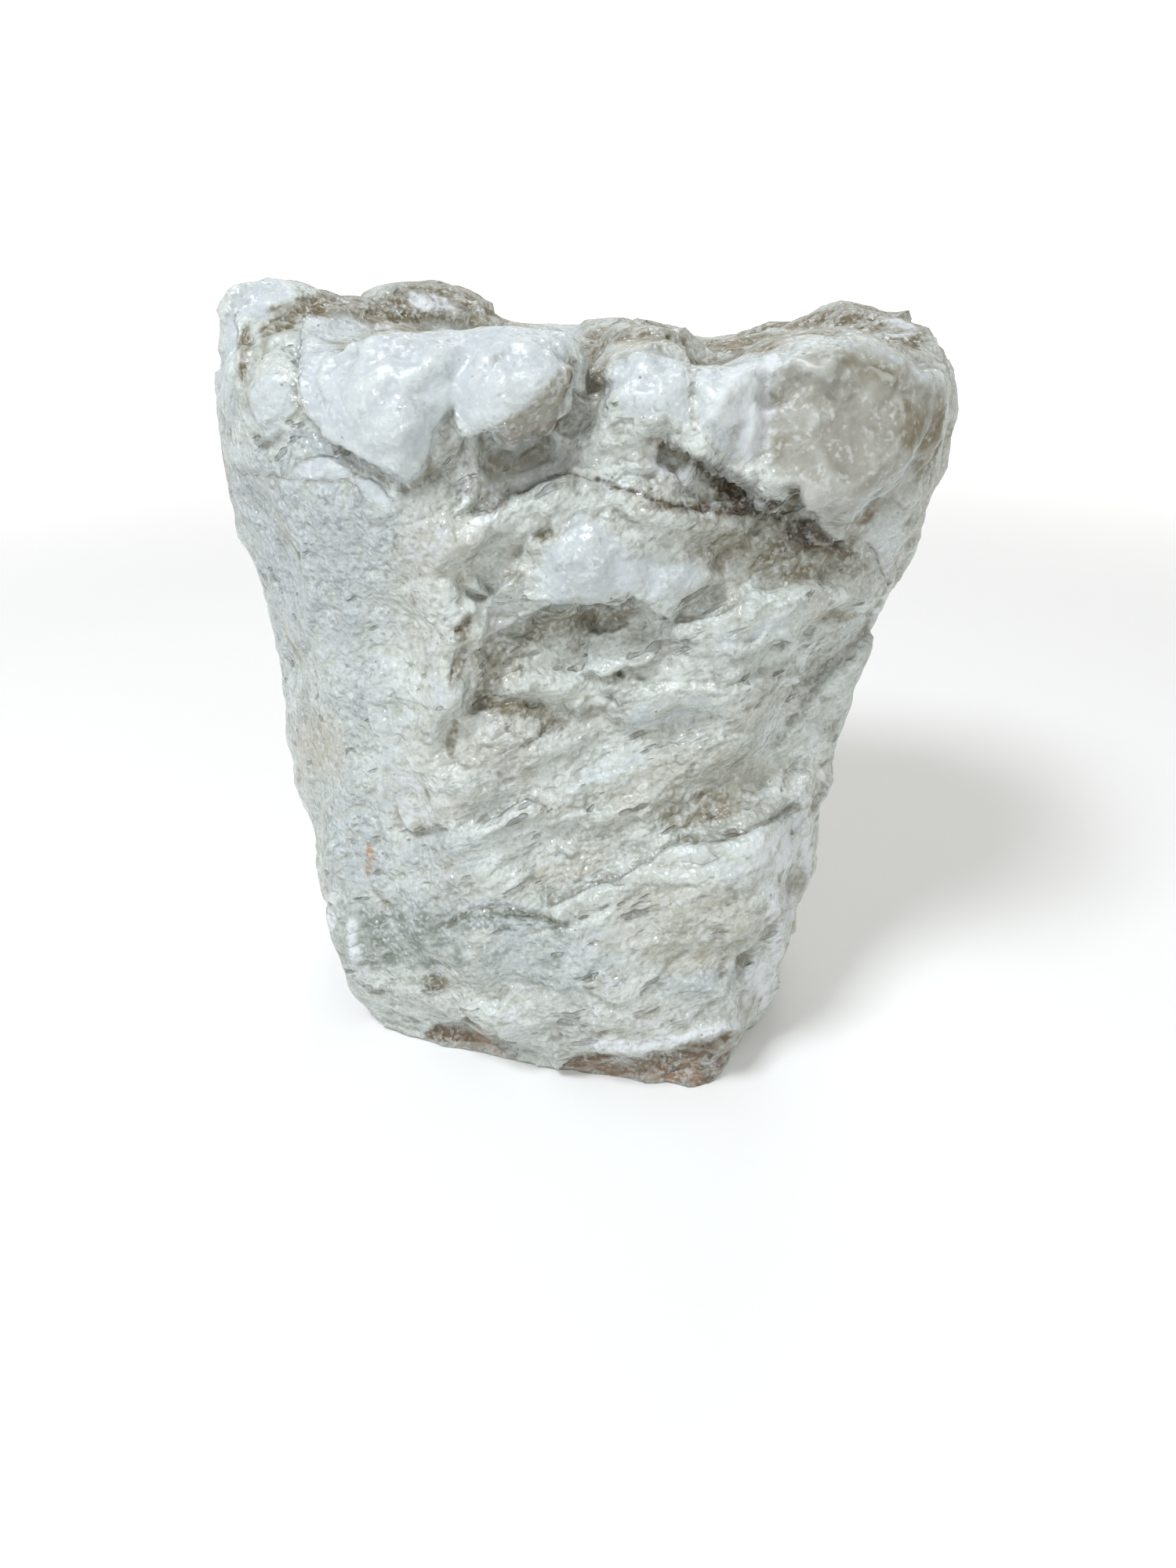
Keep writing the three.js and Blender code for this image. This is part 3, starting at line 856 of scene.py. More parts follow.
SEAMS = (
    Seam(((385, 400), (383, 450), (382, 500), (390, 530), (410, 550)), 0.7, 0.65),
    Seam(((408, 577), (437, 593), (462, 606), (495, 623), (520, 628)), 0.6, 0.6, 1.6),
    Seam(((287, 594), (307, 602), (334, 605), (368, 611), (384, 613)), 0.5, 0.6),
    Seam(((384, 613), (421, 616), (443, 613), (459, 624), (478, 639)), 0.4, 0.55),
    Seam(((365, 608), (368, 590), (372, 570)), 0.3, 0.4),
    Seam(((382, 552), (420, 563), (445, 580), (476, 599), (507, 619)), 0.4, 0.5, 1.6),
    Seam(((655, 562), (690, 556), (712, 528), (724, 495), (734, 455)), 0.6, 0.9),
    Seam(((585, 660), (629, 649), (665, 630), (687, 614), (715, 606), (740, 608), (770, 612)), 0.5, 0.6),
    Seam(((770, 612), (796, 626), (818, 631), (832, 639), (851, 642), (873, 645), (896, 651), (912, 648),
        (951, 651), (1000, 655)), 0.8, 0.95),
    Seam(((859, 578), (896, 590), (912, 601), (918, 614), (934, 631), (957, 640), (976, 650)), 0.6, 0.9),
    Seam(((1012, 622), (1018, 640), (1029, 651)), 0.8, 0.9),
    Seam(((984, 662), (1004, 664), (1015, 662), (1021, 684), (1029, 697), (1057, 701), (1082, 701)), 0.8,
        0.9),
    Seam(((1004, 667), (1001, 689), (1003, 735)), 0.4, 0.6),
    Seam(((1104, 689), (1118, 706), (1123, 723), (1132, 748)), 0.4, 0.5),
    Seam(((611, 951), (633, 954), (654, 954), (672, 953), (690, 940), (704, 926), (708, 911)), 0.5, 0.6),
    Seam(((1044, 902), (1050, 896), (1054, 888)), 0.3, 0.5),
    Seam(((515, 1054), (529, 1063), (558, 1054), (572, 1061)), 0.8, 0.8),
    Seam(((604, 1054), (626, 1047), (640, 1036), (654, 1026), (669, 1019), (690, 1024), (704, 1033)), 0.4,
        0.6),
    Seam(((829, 1103), (836, 1094), (854, 1078), (879, 1069), (890, 1074), (915, 1076), (940, 1067),
        (976, 1051), (1011, 1038), (1028, 1029)), 0.4, 0.6),
    Seam(((833, 1106), (851, 1103), (869, 1097), (897, 1104), (920, 1094), (904, 1079)), 0.3, 0.45),
    Seam(((711, 1151), (736, 1140), (761, 1128), (783, 1119), (804, 1110), (819, 1104)), 0.3, 0.4),
    Seam(((569, 1186), (583, 1172), (597, 1161), (626, 1158), (654, 1158), (676, 1163), (697, 1172),
        (719, 1179)), 0.6, 0.75),
    Seam(((901, 1204), (908, 1199), (915, 1193)), 0.5, 0.7),
    Seam(((797, 1210), (808, 1210), (819, 1214)), 0.4, 0.6),
    Seam(((858, 1269), (886, 1265), (922, 1267)), 0.3, 0.4),
    Seam(((940, 1214), (941, 1226), (952, 1241)), 0.5, 0.6),
    Seam(((424, 1077), (426, 1114), (420, 1143)), 0.4, 0.5),
    Seam(((934, 447), (960, 450), (990, 447)), 0.4, 0.6),
    Seam(((297, 405), (302, 398), (306, 393)), 0.2, 0.9, 0.8),
    Seam(((762, 428), (766, 437), (770, 444)), 0.5, 0.7),
    Seam(((537, 719), (552, 724), (570, 731)), 0.2, 0.3),
    Seam(((320, 478), (315, 491), (314, 508), (318, 524), (332, 538)), 0.2, 0.35),
    Seam(((806, 752), (796, 764), (773, 769), (747, 773), (727, 768)), 0.3, 0.55),
)

# The tones laid out on the front view: stains, and in part painted shade and painted light.
STAINS_AND_PAINTED_LIGHT = {
    # Nodules along the top, the glassy lump below them, and pale patches.
    Tone.WHITE: (
        Field(((385, 405), (430, 396), (470, 398), (520, 408), (575, 402), (640, 408), (700, 400),
            (742, 406), (738, 440), (722, 470), (700, 505), (660, 530), (600, 552), (580, 520), (556, 560),
            (545, 600), (515, 622), (484, 596), (440, 572), (398, 545), (378, 500)), 9),
        Field(((780, 465), (816, 449), (855, 452), (878, 478), (878, 543), (835, 533), (796, 527),
            (777, 497)), 9),
        Field(((888, 458), (927, 445), (966, 452), (986, 478), (979, 543), (959, 582), (933, 595),
            (901, 556), (884, 510)), 9, 0.85),
        Oval((345, 512), (30, 42), 0, 0.75),
        Oval((335, 378), (42, 26), -14),
        Oval((292, 450), (9, 60), 0, 0.8),
        Field(((684, 724), (692, 704), (720, 680), (740, 660), (768, 668), (790, 690), (816, 712),
            (852, 708), (892, 720), (900, 740), (876, 756), (856, 764), (820, 756), (784, 764), (748, 768),
            (712, 772), (684, 756)), 20, 0.95),
        Streak(((980, 470), (1022, 442), (1062, 436), (1112, 445), (1163, 466), (1192, 490)), 12, 0.5),
        Oval((408, 597), (36, 13), 4, 0.9),
        Oval((474, 626), (26, 11), 38, 0.9),
        Oval((300, 575), (20, 14), 0, 0.7),
        Oval((665, 1172), (18, 5), 8),
        Oval((656, 1215), (34, 30), 0, 0.42, 0.9),
        Oval((760, 1202), (48, 24), -10, 0.38, 0.9),
        Oval((560, 1205), (26, 18), 0, 0.42, 0.9),
        Oval((850, 910), (60, 26), -12, 0.45),
        Oval((780, 985), (60, 24), -14, 0.4),
        Oval((960, 800), (80, 20), -14, 0.5),
        Oval((610, 640), (26, 30), 0, 0.5),
        Oval((1000, 1050), (30, 14), -20, 0.6),
        Oval((1128, 696), (24, 40), -10, 0.5, 0.7),
        Field(((850, 1092), (915, 1082), (976, 1058), (1035, 1034), (1048, 1100), (1010, 1128), (930, 1120),
            (880, 1112)), 26, 0.4),
        Field(((560, 1060), (574, 1056), (540, 1064), (516, 1056), (487, 985), (474, 940), (480, 900),
            (520, 960), (545, 1030)), 18, 0.35),
        Oval((560, 880), (34, 60), 10, 0.4, 0.9),
        Oval((545, 700), (40, 60), 10, 0.35, 0.9),
        Oval((500, 1000), (20, 60), -10, 0.45, 0.9),
    ),
    # The left face and the foot, with their pale grey patches.
    Tone.COOL: (
        Field(((262, 545), (330, 560), (400, 560), (470, 600), (530, 640), (520, 700), (500, 790),
            (440, 860), (340, 840), (280, 720), (250, 640)), 80, 0.75),
        Oval((420, 575), (60, 14), 22, 0.8),
        Oval((292, 520), (16, 40), 0, 0.7),
        Oval((440, 900), (90, 160), -8, 0.5, 0.7),
        Oval((530, 1180), (110, 50), 8, 0.6, 0.7),
        Oval((450, 1070), (60, 90), -10, 0.6, 0.8),
        Oval((640, 1170), (60, 22), 6, 0.8),
        Oval((700, 1230), (120, 40), 6, 0.5),
        Oval((900, 1255), (80, 22), -4, 0.55),
        Oval((560, 1090), (60, 40), 0, 0.5),
        Oval((440, 1250), (30, 40), 0, 0.4),
    ),
    # Beige patches of the right face and the arris, and painted warm shade below the cave.
    Tone.WARM: (
        Oval((840, 432), (60, 18), 0, 0.7),
        Oval((1140, 560), (50, 70), 30, 0.3, 0.8),
        # Painted warm shade below the cave.
        Oval((630, 840), (46, 26), 30, 0.6),
        Oval((880, 1000), (110, 50), -12, 0.5),
        Oval((1065, 785), (34, 8), 0, 0.7),
        Oval((408, 950), (38, 48), 0, 0.6, 0.8),
        Oval((720, 1110), (60, 20), -20, 0.5),
        Oval((880, 1180), (110, 60), 0, 0.45),
        Oval((560, 700), (60, 60), 0, 0.5),
        Oval((640, 600), (30, 20), 0, 0.5),
        Oval((620, 930), (70, 60), 0, 0.3),
    ),
    # The waxy boss, the recess under the round nodule, and a patch low on the right.
    Tone.LILAC: (
        Field(((975, 490), (1010, 440), (1060, 426), (1129, 436), (1184, 458), (1212, 500), (1218, 545),
            (1165, 630), (1122, 660), (1073, 704), (1020, 652), (994, 624), (964, 590)), 28, 0.72),
        Oval((1085, 580), (70, 80), 0, 0.9, 0.8),
        Field(((616, 566), (690, 580), (735, 540), (745, 600), (700, 608), (650, 632), (600, 645)), 9, 0.5),
        Oval((1015, 1140), (20, 36), 0, 0.7),
    ),
    # The olive matrix behind and under the nodules and in streaks, with olive painted shade under the
    # nodules, in the cave and in the slots.
    Tone.OLIVE: (
        Field(((330, 392), (380, 380), (430, 372), (500, 395), (560, 398), (620, 402), (640, 412),
            (560, 412), (500, 418), (440, 404), (400, 402), (360, 408)), 9, 0.95),
        Field(((480, 400), (500, 362), (540, 350), (600, 360), (650, 390), (645, 404), (560, 398)), 8, 0.8),
        Oval((312, 448), (9, 38), 2, 1.0),
        Oval((337, 432), (6, 24), 2, 0.7),
        Oval((360, 415), (22, 12), 0, 0.7),
        # Olive painted shade, with the matrix, on the underside of the right nodule.
        Field(((734, 452), (728, 497), (712, 528), (690, 552), (660, 562), (630, 560), (640, 540),
            (668, 524), (692, 500), (712, 470)), 7, 1.0),
        Oval((635, 455), (16, 7), -35, 0.35),
        Oval((568, 545), (10, 28), 8, 0.5),
        Oval((775, 427), (30, 12), 0, 0.8),
        Oval((765, 470), (12, 44), 0, 0.45),
        Oval((1112, 472), (46, 16), 12, 0.6, 0.8),
        Oval((1184, 558), (36, 46), 14, 0.9, 0.7),
        Oval((1150, 522), (20, 12), -20, 0.6),
        Field(((905, 450), (930, 432), (985, 412), (1010, 385), (1040, 368), (1100, 374), (1178, 392),
            (1184, 438), (1163, 447), (1112, 429), (1062, 418), (1022, 425), (1000, 437), (977, 449)), 4,
            1.0),
        Oval((850, 420), (56, 18), 0, 0.6),
        Oval((1050, 410), (30, 18), 30, 0.5),
        Oval((990, 572), (14, 20), 20, 0.4, 0.8),
        Oval((990, 705), (130, 40), 6, 0.66, 0.6),
        Oval((940, 665), (80, 16), 4, 0.5),
        # Olive painted shade in the cave under its roof.
        Field(((660, 798), (700, 776), (760, 774), (800, 762), (830, 780), (800, 798), (740, 808),
            (690, 822), (650, 836)), 14, 0.68),
        Oval((655, 737), (16, 12), 0, 0.5, 0.8),
        Oval((692, 684), (16, 10), -30, 0.6),
        Oval((592, 800), (10, 24), 30, 0.7),
        Oval((586, 850), (10, 30), 22, 0.7),
        Oval((576, 944), (8, 26), 8, 0.65),
        Oval((625, 872), (18, 30), 24, 0.6),
        Oval((660, 905), (50, 12), 4, 0.75),
        Oval((706, 925), (26, 14), -30, 0.55),
        Oval((790, 860), (26, 12), -20, 0.4),
        Oval((870, 840), (40, 8), -14, 0.3),
        Oval((900, 1032), (66, 26), -14, 0.55),
        Oval((985, 1030), (44, 16), -20, 0.35),
        Oval((910, 755), (60, 22), -14, 0.3),
        Oval((555, 1252), (18, 12), 0, 0.9),
    ),
    # The seam low down and the stone round it.
    Tone.GREEN: (
        Oval((510, 1200), (110, 50), 8, 0.62, 0.8),
        Oval((650, 1225), (110, 30), 4, 0.35, 0.8),
        Streak(((540, 1190), (570, 1180), (600, 1166), (640, 1163), (690, 1172), (720, 1184)), 8, 0.9),
        Oval((712, 1183), (10, 9), 0, 0.9),
        Oval((620, 1180), (40, 8), 4, 0.6),
    ),
    # Painted shade and dirt in the crevices, and painted brown bounce light in the shade of the undercut
    # foot.
    Tone.BROWN: (
        Oval((678, 548), (50, 12), -12, 0.8),
        Field(((985, 412), (1010, 385), (1040, 368), (1100, 374), (1105, 425), (1062, 418), (1022, 425),
            (1000, 437)), 6, 0.45),
        Field(((872, 574), (915, 600), (965, 632), (1000, 646), (1010, 660), (960, 656), (920, 640),
            (900, 612)), 7, 0.95),
        Oval((852, 569), (30, 9), 24, 0.7, 0.8),
        Oval((885, 648), (70, 9), 4, 0.8),
        Oval((1030, 680), (30, 16), 40, 1.0),
        Streak(((1078, 700), (1096, 674), (1110, 652), (1122, 634)), 8, 0.5),
        Oval((1065, 703), (30, 6), 0, 0.6),
        Oval((604, 600), (7, 40), 10, 0.5),
        Oval((626, 648), (36, 7), -14, 0.45),
        Oval((582, 803), (6, 8), 0, 1.0),
        Oval((530, 764), (8, 10), 0, 0.5),
        # Along the foot: painted brown bounce light on the shaded underside.
        Field(((700, 1372), (726, 1350), (754, 1343), (811, 1347), (851, 1343), (883, 1329), (946, 1308),
            (946, 1340), (920, 1385), (851, 1392), (783, 1385)), 4, 0.85),
        Field(((540, 1322), (556, 1307), (583, 1306), (597, 1297), (619, 1310), (634, 1313), (638, 1331),
            (667, 1350), (619, 1345), (583, 1338)), 4, 0.8),
    ),
    # Stains on the top and the left face, and along the foot more painted warm bounce light on the shaded
    # underside.
    Tone.RUST: (
        Field(((900, 440), (930, 424), (985, 414), (1015, 420), (1010, 445), (960, 452), (915, 448)), 8,
            0.35),
        Oval((400, 940), (24, 26), 0, 0.2, 0.8),
        Oval((472, 1090), (5, 12), -10, 1.0, 0.6),
        Oval((470, 1108), (4, 9), 0, 0.7, 0.6),
        # Along the foot: more painted warm bounce light on the shaded underside.
        Field(((704, 1372), (726, 1352), (800, 1350), (850, 1352), (900, 1345), (890, 1385), (790, 1388)),
            9, 0.45),
        Field(((600, 1312), (632, 1314), (640, 1332), (664, 1350), (620, 1345)), 5, 0.7),
    ),
    # Bruised stone, and painted light on stone that lies in shade: the lumps in the crevice, the recess,
    # the valley by the ribs and the lower right edge.
    Tone.CHALK: (
        # Pale stone of the lumps in the crevice, with painted light where they lie in shade.
        Oval((860, 603), (36, 17), 20, 0.75, 0.5),
        Oval((1000, 1082), (54, 30), -22, 0.7, 0.7),
        Oval((528, 1020), (20, 52), -18, 0.45, 0.8),
        Streak(((986, 1140), (992, 1197), (988, 1240)), 9, 1.0),
        Oval((972, 1250), (22, 32), 0, 0.9),
        Streak(((751, 1329), (815, 1337), (886, 1322), (940, 1308)), 8, 1.0),
        Streak(((820, 1310), (900, 1290), (960, 1270)), 9, 0.5),
        Oval((652, 1305), (26, 26), 0, 0.45, 0.8),
        Oval((422, 1175), (7, 14), 0, 0.9),
        Streak(((449, 1177), (449, 1210), (466, 1240)), 7, 0.9),
        Streak(((447, 1183), (452, 1230), (470, 1262)), 8, 0.6),
        Streak(((986, 455), (975, 500), (970, 545)), 8, 0.9),
        Oval((965, 575), (22, 26), 0, 0.5),
        # White stone of the ribs, painted lighter where the valley between them lies in shade.
        Oval((945, 525), (38, 74), 8, 0.6, 0.6),
        Oval((550, 384), (36, 13), 10, 0.75, 0.3),
        Oval((1140, 419), (30, 13), 0, 0.7, 0.3),
        # Painted light in the shaded recess.
        Oval((690, 602), (52, 20), -20, 0.6, 0.7),
        Oval((1028, 1018), (8, 10), 0, 0.8),
        Streak(((1030, 1040), (1038, 1075), (1030, 1110)), 7, 0.6),
        Oval((660, 1380), (40, 26), 20, 0.4),
        # Painted light along the lower right edge, which faces away from the key light.
        Oval((1004, 1195), (22, 66), 0, 0.65, 0.5),
    ),
    # Painted shade and the darkest dirt in the crevices, the recess and the cave, and the darkest dirt
    # along the main seams.
    Tone.SHADE: (
        Oval((935, 618), (52, 17), 33, 0.8),
        Oval((992, 650), (26, 12), 10, 0.8),
        Oval((1020, 676), (20, 15), 40, 0.9),
        Streak(((892, 590), (912, 606), (930, 622), (955, 642), (978, 655), (1000, 654)), 8, 0.95),
        Streak(((1012, 628), (1022, 648), (1036, 672), (1050, 688), (1070, 694)), 8, 0.9),
        Streak(((762, 610), (796, 625), (818, 630), (832, 638), (851, 641), (873, 645), (896, 650),
            (912, 648), (951, 650), (1000, 655)), 4, 0.85),
        Streak(((585, 660), (629, 649), (665, 630), (687, 614), (715, 606), (740, 608)), 3.5, 0.6),
        Streak(((984, 662), (1004, 666), (1021, 684), (1034, 698), (1057, 702), (1082, 701)), 4, 0.75),
        Streak(((1001, 672), (1002, 700), (1003, 735)), 3, 0.45),
        Streak(((398, 556), (420, 570), (445, 588), (476, 606), (507, 622)), 4, 0.5),
        Streak(((1104, 689), (1118, 706), (1123, 723), (1132, 748)), 3, 0.4),
        Field(((614, 562), (640, 564), (668, 567), (698, 550), (716, 528), (724, 545), (706, 574),
            (680, 584), (645, 580)), 9, 0.3),
        Oval((772, 798), (34, 9), -6, 0.55),
        Oval((796, 768), (16, 9), 0, 0.6),
        Oval((948, 1229), (9, 13), -10, 0.35, 0.5),
    ),
}

# The smoother stone of the boss and of the left face.
CALM = (
    Field(((960, 450), (1129, 430), (1185, 462), (1205, 542), (1151, 625), (1073, 686), (1029, 640),
        (960, 570)), 16, 0.85),
    Oval((400, 780), (110, 220), -10, 0.6),
)


@dataclass(frozen=True)
class Heights:
    """How much of each form of relief a kind of stone has."""

    roll: float = 0.0
    chips: float = 0.0
    small_chips: float = 0.0
    grains: float = 0.0
    rough: float = 0.0
    flutes: float = 0.0

    def total(self, forms: dict[str, np.ndarray]) -> np.ndarray:
        """Adds up the forms, each by its share."""
        return sum(share * forms[name] for name, share in asdict(self).items())


@dataclass(frozen=True)
class Relief:
    """The rough relief of the broken stone, with its sizes in millimetres."""

    noise: StoneNoise
    bed_slope: float = 24.0
    bed_stretch: float = 0.55
    sway: Cloud = Cloud(15.0, octaves=3)
    sway_shifts: tuple[float, ...] = (0, 31, 62)
    sway_height: float = 2.6
    roll: Cloud = Cloud(30.0, octaves=3)
    rough: Cloud = Cloud(6.0, 11, 2)
    flutes: Cloud = Cloud(8.5, 17)
    flute_stretch: Triple = (1.0, 1.0, 0.3)
    chip_size: float = 21.0
    chip_crisp: float = 18.0
    small_size: float = 8.5
    small_crisp: float = 14.0
    small_shift: float = 50.0
    grain_size: float = 5.0
    grain_middle: float = 0.35
    broken: Heights = Heights(1.0, 0.2, 0.2, 0.3, 0.3)
    smooth: Heights = Heights(0.5, 0.08, 0.06, 0.12, 0.2, 1.0)
    brim: Heights = Heights(chips=0.1, small_chips=0.2)
    patches: Cloud = Cloud(40.0, 500)
    patches_show: Span = (-0.5, 0.4)
    patch_chips: Span = (0.4, 1.0)
    rougher: Cloud = Cloud(28.0, 700)
    rougher_show: Span = (-0.2, 0.5)
    rougher_chips: Span = (0.3, 1.0)
    left_across: Span = (0.0, -0.35)
    left_along: Span = (0.25, -0.1)
    left_chips: Span = (1.0, 0.4)
    left_small_chips: Span = (1.0, 0.6)
    brim_tilt: Span = (0.2, 0.5)
    brim_flat: Span = (0.98, 0.85)
    brim_height: Span = (235.0, 253.0)
    breaks: Cloud = Cloud(13.0, 900, 2)
    breaks_show: Span = (-0.15, 0.35)
    crease_width: float = 0.14
    crease_depth: float = 0.7

    def beds(self, points: np.ndarray, sway: np.ndarray) -> np.ndarray:
        """Draws places out along the beds of the stone.

        Args:
            points: Places in millimetres.
            sway: How the beds are bent there.

        Returns:
            The places that the chipped faces are worked out from.
        """
        slope = math.radians(self.bed_slope)
        way = np.array([math.cos(slope), 0.0, math.sin(slope)])
        return points - self.bed_stretch * (points @ way)[:, None] * way + self.sway_height * sway

    def build(
        self, points: np.ndarray, outward: np.ndarray, calm: np.ndarray
    ) -> tuple[np.ndarray, np.ndarray]:
        """Works out the relief.

        Args:
            points: The skin's places in millimetres.
            outward: The directions that it faces.
            calm: Where it is nodule or boss, which are smoother.

        Returns:
            How far out each point goes, in millimetres, and how far it lies in a crease, 0 to 1.
        """
        noise, across, along, upward = self.noise, *outward.T
        sway = noise.sway(points, self.sway, self.sway_shifts)
        beds = self.beds(points, sway)
        forms = {
            "roll": noise.cloud(points, self.roll),
            "chips": noise.facets(beds, self.chip_size, self.chip_crisp),
            "small_chips": noise.facets(beds + self.small_shift, self.small_size, self.small_crisp),
            "grains": noise.pebbles(points + sway, self.grain_size) - self.grain_middle,
            "rough": noise.cloud(points, self.rough),
            "flutes": noise.cloud(points * np.array(self.flute_stretch), self.flutes),
        }
        left = soft_step(*self.left_across, across) * soft_step(*self.left_along, along)
        patchy = soft_step(*self.patches_show, noise.cloud(points, self.patches))
        rougher = soft_step(*self.rougher_show, noise.cloud(points, self.rougher))
        chips = forms["chips"] * between(self.left_chips, left) * between(self.patch_chips, patchy)
        small_chips = forms["small_chips"] * between(self.left_small_chips, left)
        small_chips = small_chips * between(self.rougher_chips, rougher)
        plain = 1 - calm
        brim = soft_step(*self.brim_tilt, upward) * soft_step(*self.brim_flat, upward)
        brim = brim * soft_step(*self.brim_height, points[:, 2])
        rise = plain * self.broken.total({**forms, "chips": chips, "small_chips": small_chips})
        rise += calm * self.smooth.total(forms) + brim * self.brim.total(forms)
        creases = soft_step(self.crease_width, 0.0, noise.pebbles(beds, self.chip_size))
        creases = plain * creases * soft_step(*self.breaks_show, noise.cloud(points, self.breaks))
        return rise - self.crease_depth * creases, creases


@dataclass(frozen=True)
class BackStain:
    """How a tone lies on the sides that the front view doesn't see, with heights in millimetres."""

    strength: float
    patches: Span = EVERYWHERE
    above: Span = EVERYWHERE
    below: Span = EVERYWHERE
    upward: Span = (1.0, 1.0)

    def share(self, height: np.ndarray, patch: np.ndarray, upward: np.ndarray) -> np.ndarray:
        """Gives how strong the stain is.

        Args:
            height: How high each point lies.
            patch: The noise that breaks the tone up.
            upward: 1 where the stone faces up.

        Returns:
            0 to 1 for each point.
        """
        share = self.strength * soft_step(*self.patches, patch) * between(self.upward, upward)
        return share * soft_step(*self.above, height) * soft_step(*self.below, height)


BACK_STAINS = {
    Tone.WHITE: (BackStain(1.0, (-0.55, -0.1), above=(228, 250), upward=(1.0, 0.2)),),
    Tone.OLIVE: (
        BackStain(1.0, (-0.3, 0.2), above=(205, 222), below=(248, 230)),
        BackStain(0.5, (0.55, 0.85)),
        BackStain(0.85, (-0.5, 0.1), upward=(0.0, 1.0)),
    ),
    Tone.COOL: (BackStain(0.7, (0.1, 0.5), below=(220, 190)),),
    Tone.WARM: (BackStain(0.8, (0.0, 0.4)),),
    Tone.CHALK: (BackStain(0.6, (0.5, 0.8)),),
    # Painted brown bounce light on the shaded underside, low all round the foot.
    Tone.BROWN: (BackStain(0.8, below=(17, 1)),),
}


def seam_layers() -> list[list[Seam]]:
    """Shares the cracks out so that those of one layer lie clear of one another where they can.

    Returns:
        The cracks of each layer.
    """
    layers: list[list[Seam]] = [[] for _ in range(SEAM_LAYERS)]
    for seam in SEAMS:
        room = [seam.room(layer) for layer in layers]
        fits = [number for number, space in enumerate(room) if space > SEAM_ROOM]
        layers[fits[0] if fits else int(np.argmax(room))].append(seam)
    return layers


